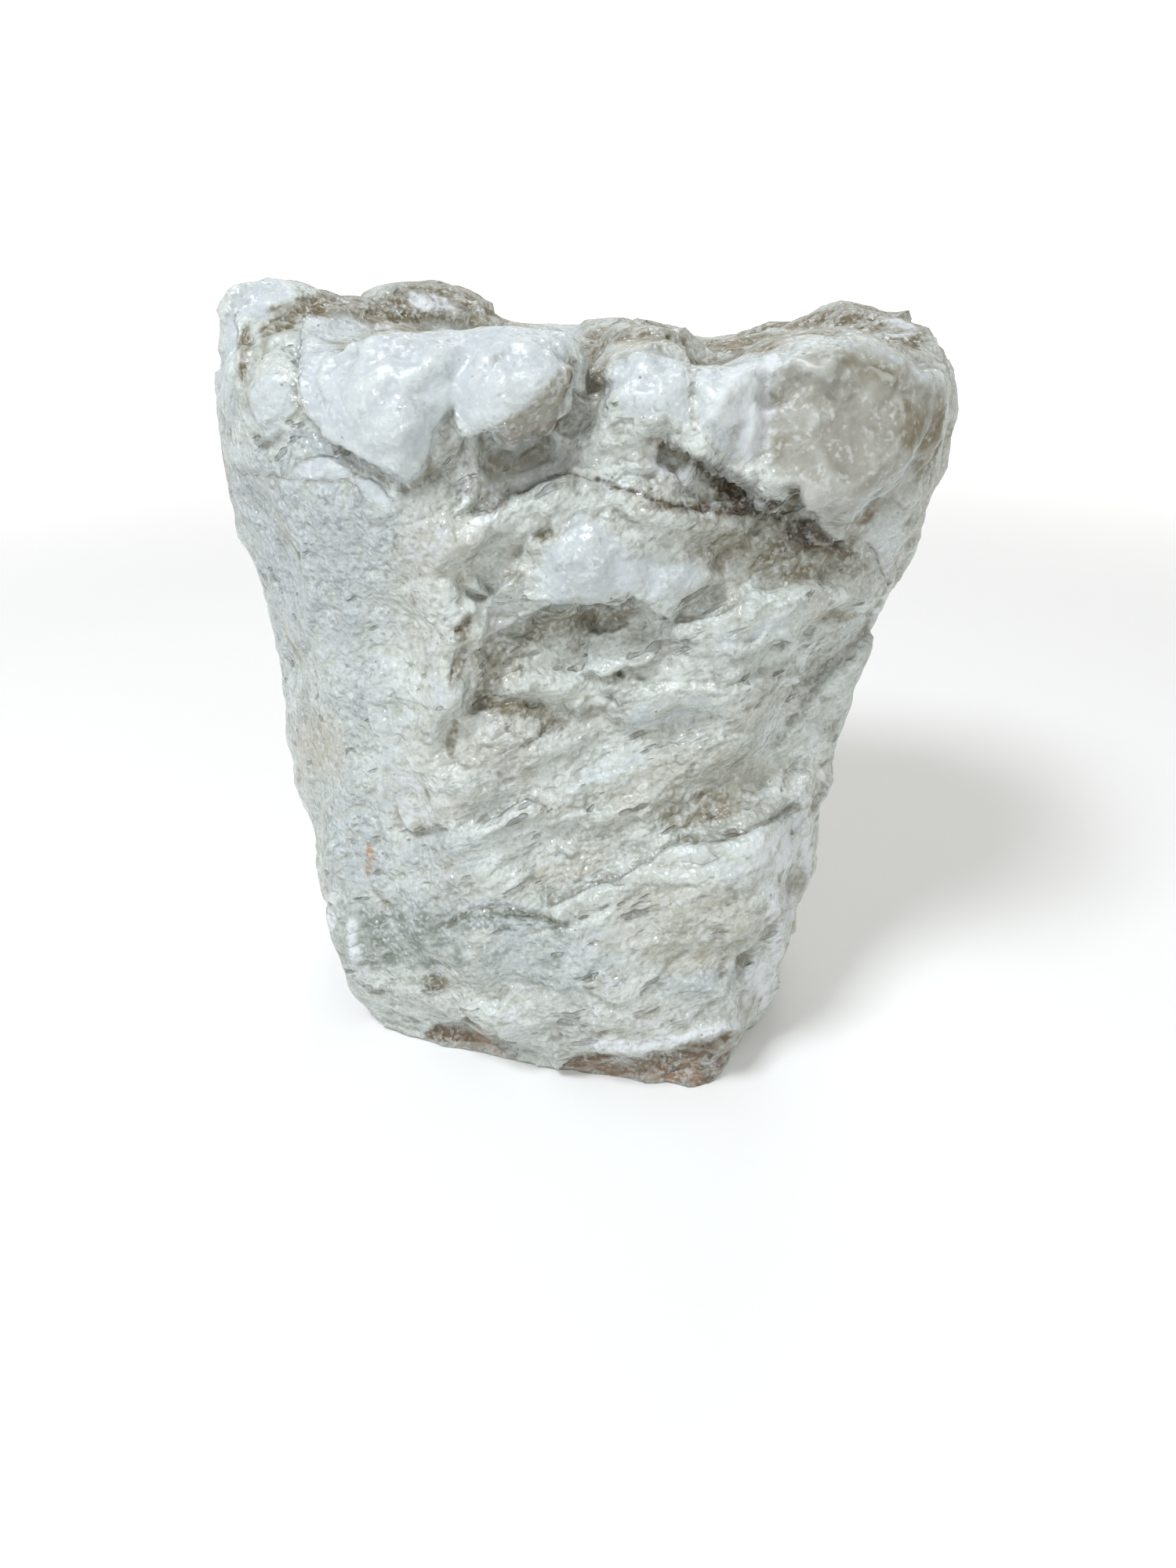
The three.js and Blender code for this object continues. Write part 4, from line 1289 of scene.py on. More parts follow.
@dataclass
class AlabasterStone:
    """The standing block, cut finer than its frame and given its small forms, its stains and its painted
    shade and light.
    """

    view: FrontView
    node: str = "alabaster_block"
    piece: str = "alabaster_stone"
    body: str = "root"
    finish_slot: str = "alabaster"
    noise: StoneNoise = field(default_factory=lambda: StoneNoise(seed=7))
    weld: float = 1e-5
    cuts: int = 2
    first_rounds: int = 4
    last_rounds: int = 2
    front_facing: float = 0.98
    foot_height: float = 0.05
    foot_rise: float = 7.0
    foot_clearance: float = 0.02
    hidden_depth: float = 0.012
    bin_width: float = 12.0
    squarely_seen: Span = (0.0, 0.25)
    squarely_rounds: int = 4
    hidden_rounds: int = 2
    outward_rounds: int = 3
    wander: float = 3.0
    wander_cloud: Cloud = Cloud(9.0, octaves=2)
    wander_shifts: tuple[float, ...] = (0, 91)
    height_sway: float = 16.0
    height_cloud: Cloud = Cloud(45.0, 200, 2)
    patch_cloud: Cloud = Cloud(38.0, octaves=3)
    patch_shift: float = 60.0
    faces_up: Span = (0.35, 0.7)
    fine_rounds: int = 8
    broad_rounds: int = 60
    seam_margin: float = 40.0
    seam_fade: Span = (3.5, 1.2)
    seam_taper: float = 2.0

    def build(self, nodes: dict[str, bpy.types.Object]) -> bpy.types.Object:
        """Makes the stone.

        Args:
            nodes: The frame's parts by name.

        Returns:
            The finished stone, with its stains as attributes.
        """
        stone = self.copy_of(nodes[self.node])
        self.cut_finer(stone)
        skin = Surface(stone.data)
        creases = self.shape(skin, skin.points[:, 2] < self.foot_height)
        skin.write(stone.data)
        self.record(stone, "crease", creases)
        self.stain(stone, skin)
        bpy.ops.object.shade_smooth()
        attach(stone, self.body)
        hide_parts(self.node)
        return stone

    def copy_of(self, node: bpy.types.Object) -> bpy.types.Object:
        """Copies the frame's part and joins its loose triangles.

        Args:
            node: The part.

        Returns:
            The copy, alone selected.
        """
        stone = bpy.data.objects.new(self.piece, node.data.copy())
        stone.data.name = self.piece
        stone.data.materials.clear()
        bpy.context.scene.collection.objects.link(stone)
        bpy.ops.object.select_all(action="DESELECT")
        stone.select_set(True)
        bpy.context.view_layer.objects.active = stone
        bpy.ops.object.mode_set(mode="EDIT")
        bpy.ops.mesh.select_all(action="SELECT")
        bpy.ops.mesh.remove_doubles(threshold=self.weld)
        bpy.ops.object.mode_set(mode="OBJECT")
        return stone

    def cut_finer(self, stone: bpy.types.Object) -> None:
        """Divides every triangle, smooths the whole, then divides the front again.

        Args:
            stone: The stone, which is changed.
        """
        bpy.ops.object.mode_set(mode="EDIT")
        bpy.ops.mesh.select_all(action="SELECT")
        bpy.ops.mesh.subdivide(number_cuts=self.cuts, smoothness=0.0)
        bpy.ops.object.mode_set(mode="OBJECT")
        self.smooth(stone, self.first_rounds)
        skin = Surface(stone.data)
        facing = self.spots(skin).facing
        front = (facing[skin.edges] > self.front_facing).all(axis=1)
        bpy.ops.object.mode_set(mode="EDIT")
        bpy.ops.mesh.select_all(action="DESELECT")
        bpy.ops.mesh.select_mode(type="EDGE")
        bpy.ops.object.mode_set(mode="OBJECT")
        stone.data.edges.foreach_set("select", front)
        bpy.ops.object.mode_set(mode="EDIT")
        bpy.ops.mesh.subdivide(number_cuts=1, smoothness=0.0)
        bpy.ops.mesh.select_all(action="SELECT")
        bpy.ops.mesh.quads_convert_to_tris()
        bpy.ops.object.mode_set(mode="OBJECT")
        self.smooth(stone, self.last_rounds)

    def smooth(self, stone: bpy.types.Object, rounds: int) -> None:
        """Smooths the stone but for its flat foot.

        Args:
            stone: The stone.
            rounds: How many pairs of pull and push there are.
        """
        skin = Surface(stone.data)
        before = skin.points.copy()
        skin.relax(rounds)
        share = soft_step(self.foot_height, self.foot_rise, before[:, 2])[:, None]
        skin.points = before + share * (skin.points - before)
        skin.write(stone.data)

    def spots(self, skin: Surface) -> Spots:
        """Lays the skin on the front view.

        Args:
            skin: The skin in millimetres.

        Returns:
            Where each point lies, how many millimetres a view unit spans there, and how squarely
            the point faces the view: 0 where it is turned away or hidden.
        """
        points = skin.points / MM
        places, depth = self.view.project(points)
        normals = skin.softened(skin.normals(), self.squarely_rounds)
        squarely = (normals * self.view.towards(points)).sum(axis=1)
        cells = np.floor(places / self.bin_width).astype(int)
        cells -= cells.min(axis=0)
        number = cells[:, 0] * (cells[:, 1].max() + 1) + cells[:, 1]
        nearest = np.full(number.max() + 1, FAR)
        np.minimum.at(nearest, number, np.where(squarely > 0, depth, FAR))
        open_to = soft_step(2 * self.hidden_depth, self.hidden_depth, depth - nearest[number])
        facing = soft_step(*self.squarely_seen, squarely) * skin.softened(open_to, self.hidden_rounds)
        drift = self.noise.sway(skin.points, self.wander_cloud, self.wander_shifts)
        return Spots(places + self.wander * drift, depth * MM / self.view.focal, facing)

    def shape(self, skin: Surface, foot: np.ndarray) -> np.ndarray:
        """Moves the skin along its own directions into steps, cuts, lumps and rough relief.

        Args:
            skin: The skin, which is changed.
            foot: The points of the flat foot, which stay.

        Returns:
            How far each point lies in a crease, 0 to 1.
        """
        spots = self.spots(skin)
        outward = skin.softened(skin.normals(), self.outward_rounds)
        outward /= np.linalg.norm(outward, axis=1)[:, None]
        calm = np.maximum(spots.covered(STAINS_AND_PAINTED_LIGHT[Tone.WHITE]), spots.covered(CALM))
        rise, creases = Relief(self.noise).build(skin.points, outward, calm)
        for form in LUMPS + LEDGES + GROOVES + tuple(seam.groove() for seam in SEAMS):
            chosen, height = form.height(spots)
            rise[chosen] += height * spots.facing[chosen]
        rise *= soft_step(0.0, self.foot_rise, skin.points[:, 2])
        rise[foot] = 0
        for chop in CHOPS:
            skin.points[~foot] = chop.strike(skin.points[~foot])
        skin.points += rise[:, None] * outward
        skin.points[:, 2] = np.where(foot, 0.0, np.maximum(skin.points[:, 2], self.foot_clearance))
        return creases

    def stain(self, stone: bpy.types.Object, skin: Surface) -> None:
        """Writes the tones, the hollows and the cracks into the mesh for its finish to read.

        Args:
            stone: The stone.
            skin: Its shaped skin.
        """
        spots = self.spots(skin)
        unseen = 1 - skin.softened(spots.facing, self.outward_rounds)
        height = skin.points[:, 2] + self.height_sway * self.noise.cloud(skin.points, self.height_cloud)
        upward = soft_step(*self.faces_up, skin.softened(skin.normals()[:, 2], self.outward_rounds))
        for tone in Tone:
            patch = self.noise.cloud(skin.points + self.patch_shift * len(tone.value), self.patch_cloud)
            back = [stain.share(height, patch, upward) for stain in BACK_STAINS.get(tone, ())]
            share = spots.covered(STAINS_AND_PAINTED_LIGHT[tone]) + unseen * np.max([np.zeros(len(height)), *back], axis=0)
            self.record(stone, tone.value, np.clip(share, 0, 1))
        # How deep each point lies in a hollow, where the finish paints dirt and shade.
        self.record(stone, "hollow_fine", skin.hollow(self.fine_rounds))
        self.record(stone, "hollow_broad", skin.hollow(self.broad_rounds))
        for number, layer in enumerate(seam_layers()):
            self.draw_seams(stone, spots, layer, number)

    def draw_seams(self, stone: bpy.types.Object, spots: Spots, layer: list[Seam], number: int) -> None:
        """Writes how far each point lies from the cracks of a layer, and how dark they are there.

        Args:
            stone: The stone.
            spots: Its skin on the front view.
            layer: The cracks.
            number: The layer's number.
        """
        offset = np.full(len(spots.places), FAR)
        weight = np.zeros(len(spots.places))
        for seam in layer:
            chosen, gap, end = spots.measured(seam.line, self.seam_margin)
            closer = np.abs(gap) < np.abs(offset[chosen])
            offset[chosen] = np.where(closer, gap, offset[chosen])
            share = soft_step(*self.seam_fade, np.abs(gap)) * soft_step(0, self.seam_taper, end)
            share = seam.dark * share * spots.facing[chosen]
            weight[chosen] = np.where(closer, share, weight[chosen])
        self.record(stone, f"seam_offset_{number}", offset)
        self.record(stone, f"seam_weight_{number}", weight)

    @staticmethod
    def record(stone: bpy.types.Object, name: str, values: np.ndarray) -> None:
        """Writes one number for each point of the mesh."""
        kept = stone.data.attributes.new(name, "FLOAT", "POINT")
        kept.data.foreach_set("value", values.astype(np.float32))


@dataclass(frozen=True)
class Grain:
    """A noise of a finish: its lumps in a metre, how many finer sizes it has and how strong those are."""

    scale: float
    detail: float = 3.0
    rough: float = 0.55


class Graph:
    """A short way to place nodes in a material or a node group, and to join them."""

    def __init__(self, tree: bpy.types.NodeTree) -> None:
        """Starts with an empty tree."""
        self.tree = tree
        self.tree.nodes.clear()

    def node(self, kind: str, inputs: dict[Any, Any] | None = None, **settings: Any) -> bpy.types.Node:
        """Places a node.

        Args:
            kind: The node's type.
            inputs: What each input is given: a value, or another node's output.
            settings: The node's own settings.

        Returns:
            The node.
        """
        made = self.tree.nodes.new(kind)
        for name, value in settings.items():
            setattr(made, name, value)
        for name, value in (inputs or {}).items():
            if isinstance(value, bpy.types.NodeSocket):
                self.tree.links.new(value, made.inputs[name])
            else:
                made.inputs[name].default_value = value
        return made

    def attribute(self, name: str) -> Socket:
        """Reads one of the mesh's own numbers."""
        return self.node("ShaderNodeAttribute", attribute_name=name).outputs["Fac"]

    def maths(self, operation: str, *values: Any, clamp: bool = False) -> Socket:
        """Works out a number."""
        inputs = dict(enumerate(values))
        return self.node("ShaderNodeMath", inputs, operation=operation, use_clamp=clamp).outputs[0]

    def times(self, first: Any, second: Any) -> Socket:
        """Multiplies two numbers."""
        return self.maths("MULTIPLY", first, second)

    def add_share(self, value: Any, share: Any, base: Any, clamp: bool = False) -> Socket:
        """Adds a share of a value to a base."""
        return self.maths("MULTIPLY_ADD", value, share, base, clamp=clamp)

    def vector(self, operation: str, inputs: dict[Any, Any]) -> Socket:
        """Works out a direction or a place."""
        return self.node("ShaderNodeVectorMath", inputs, operation=operation).outputs[0]

    def step(self, value: Any, low: float, high: float, bottom: float = 0.0, top: float = 1.0) -> Socket:
        """Rises smoothly from bottom to top while the value goes from low to high.

        Args:
            value: What is measured.
            low: Where the rise starts.
            high: Where it ends.
            bottom: What it starts from.
            top: What it reaches.

        Returns:
            The output.
        """
        inputs = {"Value": value, "From Min": low, "From Max": high, "To Min": bottom, "To Max": top}
        return self.node("ShaderNodeMapRange", inputs, interpolation_type="SMOOTHSTEP").outputs[0]

    def mix(self, share: Any, under: Any, over: Any, blend: str = "MIX") -> Socket:
        """Lays one colour over another.

        Args:
            share: How much of it.
            under: The colour below.
            over: The colour above.
            blend: How they combine.

        Returns:
            The mixed colour.
        """
        # The node's own numbers for its share, its two colours and its coloured output.
        made = self.node("ShaderNodeMix", {0: share, 6: under, 7: over}, data_type="RGBA", blend_type=blend)
        return made.outputs[2]

    def noise(self, place: Socket, grain: Grain) -> Socket:
        """Gives smooth noise from 0 to 1."""
        sizes = {"Scale": grain.scale, "Detail": grain.detail, "Roughness": grain.rough}
        return self.node("ShaderNodeTexNoise", {"Vector": place, **sizes}).outputs[0]

    def drawn_out(self, place: Socket, scale: Triple, turn: float = 0.0) -> Socket:
        """Stretches coordinates, and turns them about the way from front to back by so many degrees."""
        inputs = {"Vector": place, "Rotation": (0.0, math.radians(turn), 0.0), "Scale": scale}
        return self.node("ShaderNodeMapping", inputs, vector_type="TEXTURE").outputs[0]

    def put_out(self, outputs: dict[str, Socket]) -> bpy.types.NodeTree:
        """Joins the results of a node group to its outputs, and gives the finished group."""
        self.node("NodeGroupOutput", outputs)
        return self.tree


def group(name: str, inputs: dict[str, str], outputs: dict[str, str]) -> tuple[Graph, Any]:
    """Starts a node group.

    Args:
        name: The group's name.
        inputs: The socket kind of each input.
        outputs: The socket kind of each output.

    Returns:
        Its graph, and what it is given by name.
    """
    tree = bpy.data.node_groups.new(name, "ShaderNodeTree")
    for way, sockets in (("INPUT", inputs), ("OUTPUT", outputs)):
        for label, kind in sockets.items():
            tree.interface.new_socket(label, in_out=way, socket_type=f"NodeSocket{kind}")
    graph = Graph(tree)
    return graph, graph.node("NodeGroupInput").outputs


@dataclass
class StoneEffects:
    """The node groups that the finish places; the crack's sizes are in millimetres."""

    middle: float = 0.5
    fray_room: float = 4.0
    fray_edge: Span = (0.12, 0.9)
    crack_sway: float = 3.0
    crack_spread: float = 0.55
    crack_width: float = 0.02
    crack_gaps: Span = (0.36, 0.56)
    crack_edge: Span = (1.2, 0.2)
    dirt_edge: Span = (2.0, 0.1)
    glint_share: Span = (0.62, 0.68)
    glint_tilt: float = 0.7
    plain_tilt: float = 0.3

    def __post_init__(self) -> None:
        """Builds each group once."""
        self.frayed = self.make_frayed()
        self.crack = self.make_crack()
        self.crystals = self.make_crystals()

    def make_frayed(self) -> bpy.types.NodeTree:
        """Builds the group that breaks up the edge of a stain.

        Returns:
            The group.
        """
        inputs = {"Share": "Float", "Breakup": "Float", "Amount": "Float"}
        graph, given = group("frayed_edge", inputs, {"Mask": "Float"})
        wander = graph.times(graph.maths("SUBTRACT", given["Breakup"], self.middle), given["Amount"])
        room = graph.maths("MULTIPLY", given["Share"], self.fray_room, clamp=True)
        moved = graph.add_share(wander, room, given["Share"])
        return graph.put_out({"Mask": graph.step(moved, *self.fray_edge)})

    def make_crack(self) -> bpy.types.NodeTree:
        """Builds the group that draws a thin crack from how far the stone is from it.

        Returns:
            The group.
        """
        inputs = {"Offset": "Float", "Weight": "Float", "Wander": "Float", "Gaps": "Float"}
        graph, given = group("crack_line", inputs, {"Line": "Float", "Stain": "Float"})
        drift = graph.maths("SUBTRACT", given["Wander"], self.middle)
        gap = graph.maths("ABSOLUTE", graph.add_share(drift, self.crack_sway, given["Offset"]))
        width = graph.add_share(given["Wander"], self.crack_spread, self.crack_width)
        held = graph.times(given["Weight"], graph.step(given["Gaps"], *self.crack_gaps))
        line = graph.times(graph.step(graph.maths("DIVIDE", gap, width), *self.crack_edge), held)
        stain = graph.times(graph.step(gap, *self.dirt_edge), given["Weight"])
        return graph.put_out({"Line": line, "Stain": stain})

    def make_crystals(self) -> bpy.types.NodeTree:
        """Builds the group that tilts each small crystal its own way.

        Returns:
            The group.
        """
        inputs = {"Place": "Vector", "Scale": "Float", "Tilt": "Float", "Facing": "Vector"}
        outputs = {"Normal": "Vector", "Glint": "Float", "Shade": "Float"}
        graph, given = group("crystal_faces", inputs, outputs)
        cells = graph.node("ShaderNodeTexVoronoi", {"Vector": given["Place"], "Scale": given["Scale"]})
        chance = graph.node("ShaderNodeSeparateXYZ", {0: cells.outputs["Color"]}).outputs
        glint = graph.step(chance[1], *self.glint_share)
        askew = graph.times(graph.add_share(glint, self.glint_tilt, self.plain_tilt), given["Tilt"])
        centred = graph.vector("SUBTRACT", {0: cells.outputs["Color"], 1: (self.middle,) * 3})
        tilted = graph.vector("SCALE", {0: centred, "Scale": askew})
        facing = graph.vector("NORMALIZE", {0: graph.vector("ADD", {0: tilted, 1: given["Facing"]})})
        return graph.put_out({"Normal": facing, "Glint": glint, "Shade": chance[2]})


@dataclass(frozen=True)
class Ground:
    """What every layer of the finish is worked out from."""

    graph: Graph
    effects: StoneEffects
    place: Socket
    beds: Socket
    breakup: Socket
    mottle: Socket
    masks: dict[Tone, Socket]
    polished: Socket


@dataclass(frozen=True)
class AlabasterFinish:
    """Wet-looking crystalline alabaster, mottled and veined, with its stains and its dirt, painted shade in
    its hollows and pits, painted highlights on its crests and painted glints on its crystals.
    """

    name: str = "alabaster"
    green_grey: Colour = paint(192, 199, 195)
    beige: Colour = paint(193, 197, 190)
    # Pale clouds in the stone, also laid on the crests as paler wear and a painted highlight.
    pale: Colour = paint(216, 224, 222)
    deep: Colour = paint(162, 166, 158)
    # The tones' colours: SHADE is painted shade with the darkest dirt; OLIVE and BROWN carry painted shade
    # in part, BROWN and RUST a painted bounce light at the foot, CHALK some painted light and WARM some
    # painted shade.
    tones: dict[Tone, Colour] = field(
        default_factory=lambda: {
            Tone.COOL: paint(176, 185, 189),
            Tone.WARM: paint(178, 175, 160),
            Tone.LILAC: paint(149, 148, 139),
            Tone.WHITE: paint(192, 201, 206),
            Tone.OLIVE: paint(112, 102, 74),
            Tone.GREEN: paint(122, 132, 123),
            Tone.BROWN: paint(102, 81, 50),
            Tone.RUST: paint(174, 143, 116),
            Tone.CHALK: paint(220, 225, 230),
            Tone.SHADE: paint(56, 44, 28),
        }
    )
    # Multiplied in as painted shade in the low parts of the fine relief, and as the darker tone of some
    # crystals.
    shadow: Colour = (0.72, 0.71, 0.64, 1.0)
    # White grains, and the painted glints of the sparkling crystals.
    grain_white: Colour = paint(228, 234, 236)
    # Dirt, and the painted shade that gathers with it in the hollows.
    dirt: Colour = paint(100, 92, 70)
    speck: Colour = paint(86, 82, 66)
    crack_dirt: Colour = paint(72, 66, 52)
    vein: Colour = paint(118, 125, 126)
    soft_fray: float = 0.9
    hard_fray: float = 1.6
    bed_turn: float = -24.0
    bed_stretch: Triple = (1.5, 1.0, 1.0)
    breakup: Grain = Grain(190.0, 2.0, 0.5)
    mottle: Grain = Grain(430.0, 1.0, 0.5)
    grain_scale: float = 360.0
    breakup_height: float = 1.1
    mottle_height: float = 0.25
    grain_height: float = -0.25
    crease_height: float = -0.35
    polish: float = -0.65
    relief: float = 0.0026
    crystal_scale: float = 700.0
    crystal_tilt: float = 0.72
    crystal_shade: float = 0.25
    sugar: Grain = Grain(60.0, 2.0)
    sugar_rise: Rise = (0.35, 0.62, 0.2, 1.0)
    # How much the sparkling crystals are painted whiter, as painted glints.
    glint_white: float = 0.35
    glint_polish: float = -0.32
    roughness: float = 0.42
    chalk_roughness: float = 0.3
    index: float = 1.65
    crease_stretch: Triple = (2.6, 1.3, 1.0)
    crease_lines: Grain = Grain(210.0, 2.0, 0.5)
    crease_rise: Rise = (0.37, 0.3)
    crease_breaks: Grain = Grain(50.0, 2.0)
    crease_breaks_rise: Rise = (0.4, 0.56)
    crease_dirt: float = 0.5
    broad: Grain = Grain(26.0)
    broad_rise: Rise = (0.38, 0.62)
    cloudy: Grain = Grain(90.0, 4.0, 0.6)
    pale_rise: Rise = (0.47, 0.66, 0.0, 0.85)
    deep_rise: Rise = (0.48, 0.32, 0.0, 0.7)
    # Painted shade in the low parts of the fine relief, weaker on the polished stone.
    pits: float = 0.6
    polished_pits: float = -0.5
    breakup_pits: Rise = (0.48, 0.3)
    mottle_pits: Rise = (0.42, 0.26)
    white_grains: Rise = (0.55, 0.75, 0.0, 0.35)
    # Dirt and painted shade in the hollows: how deep, how broad and how strong, and less on the white
    # nodules.
    fine_hollow: Rise = (0.1, 0.8)
    broad_hollow: Rise = (1.2, 5.0)
    broad_share: float = 0.35
    hollow_clouds: Rise = (0.6, 0.35, 0.3, 0.9)
    hollow_dirt: float = 0.6
    white_dirt: float = -0.35
    # Paler wear and a painted highlight on the crests.
    crest: Rise = (-0.1, -0.6, 0.0, 0.3)
    joint: Rise = (0.25, 0.95, 0.0, 0.45)
    joint_breaks: Rise = (0.62, 0.4)
    seam_gaps: Grain = Grain(150.0, 2.0)
    seam_stain: float = 0.35
    speck_scale: float = 240.0
    speck_chance: Rise = (0.7, 0.95, 0.0, 0.75)
    speck_size: Rise = (0.16, 0.06)
    vein_paths: tuple[Grain, ...] = (Grain(38.0, 4.0, 0.6), Grain(95.0, 4.0, 0.6))
    vein_middle: float = 0.5
    vein_width: Rise = (0.016, 0.0)
    vein_breaks: Grain = Grain(45.0)
    vein_breaks_rise: Rise = (0.42, 0.62)
    vein_share: float = 0.3
    cool_veins: float = 0.35

    def build(self, effects: StoneEffects) -> bpy.types.Material:
        """Makes the material.

        Args:
            effects: The node groups.

        Returns:
            The material.
        """
        material = bpy.data.materials.new(self.name)
        material.use_nodes = True
        graph = Graph(material.node_tree)
        ground = self.lay_ground(graph, effects)
        masks, creases = ground.masks, self.creases(ground)
        clear = graph.maths("SUBTRACT", 1.0, graph.maths("MAXIMUM", masks[Tone.CHALK], masks[Tone.LILAC]))
        sugar = graph.times(clear, graph.step(graph.noise(ground.place, self.sugar), *self.sugar_rise))
        inputs = {"Place": ground.place, "Scale": self.crystal_scale, "Facing": self.bump(ground, creases),
                  "Tilt": graph.times(sugar, self.crystal_tilt)}
        crystals = graph.node("ShaderNodeGroup", inputs, node_tree=effects.crystals).outputs
        glint = graph.times(crystals["Glint"], sugar)
        colour = self.colour(ground)
        colour = graph.mix(graph.times(creases, self.crease_dirt), colour, self.crack_dirt)
        shade = graph.times(crystals["Shade"], self.crystal_shade)
        colour = graph.mix(shade, colour, self.shadow, "MULTIPLY")
        # Painted glints: the sparkling crystals are painted whiter in the colour.
        colour = graph.mix(graph.times(glint, self.glint_white), colour, self.grain_white)
        rough = graph.add_share(masks[Tone.CHALK], self.chalk_roughness, self.roughness)
        rough = graph.add_share(glint, self.glint_polish, rough)
        inputs = {"Base Color": colour, "Roughness": rough, "IOR": self.index, "Normal": crystals["Normal"]}
        shader = graph.node("ShaderNodeBsdfPrincipled", inputs)
        graph.node("ShaderNodeOutputMaterial", {"Surface": shader.outputs[0]})
        return material

    def lay_ground(self, graph: Graph, effects: StoneEffects) -> Ground:
        """Places the coordinates, the two fine noises and the masks of the tones.

        Args:
            graph: The material's graph.
            effects: The node groups.

        Returns:
            What the layers are worked out from.
        """
        place = graph.node("ShaderNodeTexCoord").outputs["Object"]
        beds = graph.drawn_out(place, self.bed_stretch, self.bed_turn)
        breakup = graph.noise(beds, self.breakup)
        mottle = graph.noise(place, self.mottle)
        masks = {}
        for tone in Tone:
            fray = self.soft_fray if tone in SOFT_TONES else self.hard_fray
            inputs = {"Share": graph.attribute(tone.value), "Breakup": breakup, "Amount": fray}
            masks[tone] = graph.node("ShaderNodeGroup", inputs, node_tree=effects.frayed).outputs[0]
        polished = graph.maths("MAXIMUM", masks[Tone.WHITE], masks[Tone.LILAC])
        return Ground(graph, effects, place, beds, breakup, mottle, masks, polished)

    def bump(self, ground: Ground, creases: Socket) -> Socket:
        """Gives the direction that the fine relief faces.

        Args:
            ground: What the layers are worked out from.
            creases: The share of crease.

        Returns:
            The normal.
        """
        graph = ground.graph
        grains = graph.node("ShaderNodeTexVoronoi", {"Vector": ground.place, "Scale": self.grain_scale})
        height = graph.times(ground.mottle, self.mottle_height)
        height = graph.add_share(ground.breakup, self.breakup_height, height)
        height = graph.add_share(grains.outputs["Distance"], self.grain_height, height)
        height = graph.add_share(creases, self.crease_height, height)
        height = graph.times(height, graph.add_share(ground.polished, self.polish, 1.0))
        inputs = {"Height": height, "Strength": 1.0, "Distance": self.relief}
        return graph.node("ShaderNodeBump", inputs).outputs[0]

    def creases(self, ground: Ground) -> Socket:
        """Finds the short dirty creases that follow the beds.

        Args:
            ground: What the layers are worked out from.

        Returns:
            The share of crease.
        """
        graph = ground.graph
        lines = graph.noise(graph.drawn_out(ground.beds, self.crease_stretch), self.crease_lines)
        breaks = graph.step(graph.noise(ground.beds, self.crease_breaks), *self.crease_breaks_rise)
        line = graph.times(graph.step(lines, *self.crease_rise), breaks)
        return graph.times(line, graph.maths("SUBTRACT", 1.0, ground.polished))

    def colour(self, ground: Ground) -> Socket:
        """Lays the stone's colours over one another.

        Args:
            ground: What the layers are worked out from.

        Returns:
            The colour.
        """
        graph = ground.graph
        broad, cloudy = graph.noise(ground.place, self.broad), graph.noise(ground.beds, self.cloudy)
        colour = graph.mix(graph.step(broad, *self.broad_rise), self.green_grey, self.beige)
        colour = graph.mix(graph.step(cloudy, *self.pale_rise), colour, self.pale)
        colour = graph.mix(graph.step(cloudy, *self.deep_rise), colour, self.deep)
        for tone, shade in self.tones.items():
            colour = graph.mix(ground.masks[tone], colour, shade)
        # Painted shade where the fine relief is low, weaker on the polished stone.
        pit_shade = graph.add_share(ground.polished, self.polished_pits, self.pits)
        for noise, rise in ((ground.breakup, self.breakup_pits), (ground.mottle, self.mottle_pits)):
            low = graph.times(graph.step(noise, *rise), pit_shade)
            colour = graph.mix(low, colour, self.shadow, "MULTIPLY")
        colour = graph.mix(graph.step(ground.mottle, *self.white_grains), colour, self.grain_white)
        colour = self.veins(ground, colour)
        colour = self.hollows(ground, colour, cloudy)
        colour = self.specks(ground, colour)
        return self.seams(ground, colour)

    def veins(self, ground: Ground, colour: Socket) -> Socket:
        """Draws fine broken veins between the grains.

        Args:
            ground: What the layers are worked out from.
            colour: What they are drawn on.

        Returns:
            The veined colour.
        """
        graph, masks = ground.graph, ground.masks
        lines = []
        for path in self.vein_paths:
            swing = graph.maths("SUBTRACT", graph.noise(ground.place, path), self.vein_middle)
            lines.append(graph.step(graph.maths("ABSOLUTE", swing), *self.vein_width))
        broken = graph.step(graph.noise(ground.place, self.vein_breaks), *self.vein_breaks_rise)
        share = graph.times(graph.maths("MAXIMUM", *lines), broken)
        share = graph.times(share, graph.add_share(masks[Tone.COOL], self.cool_veins, self.vein_share))
        share = graph.times(share, graph.maths("SUBTRACT", 1.0, masks[Tone.WHITE]))
        return graph.mix(share, colour, self.vein)

    def hollows(self, ground: Ground, colour: Socket, cloudy: Socket) -> Socket:
        """Lays dirt and painted shade in the hollows, dirt in the joints of the stone, and paler wear with
        a painted highlight on its crests.

        Args:
            ground: What the layers are worked out from.
            colour: What the dirt and painted shade lie on.
            cloudy: The noise that the dirt and painted shade gather by.

        Returns:
            The colour with its dirt, painted shade and painted highlight.
        """
        graph = ground.graph
        fine, broad = graph.attribute("hollow_fine"), graph.attribute("hollow_broad")
        # Dirt and painted shade gather in the hollows of the stone, less on the white nodules.
        shade_and_dirt = graph.times(graph.step(fine, *self.fine_hollow), graph.step(cloudy, *self.hollow_clouds))
        shade_and_dirt = graph.add_share(graph.step(broad, *self.broad_hollow), self.broad_share, shade_and_dirt, clamp=True)
        kept = graph.add_share(ground.masks[Tone.WHITE], self.white_dirt, self.hollow_dirt)
        colour = graph.mix(graph.times(shade_and_dirt, kept), colour, self.dirt)
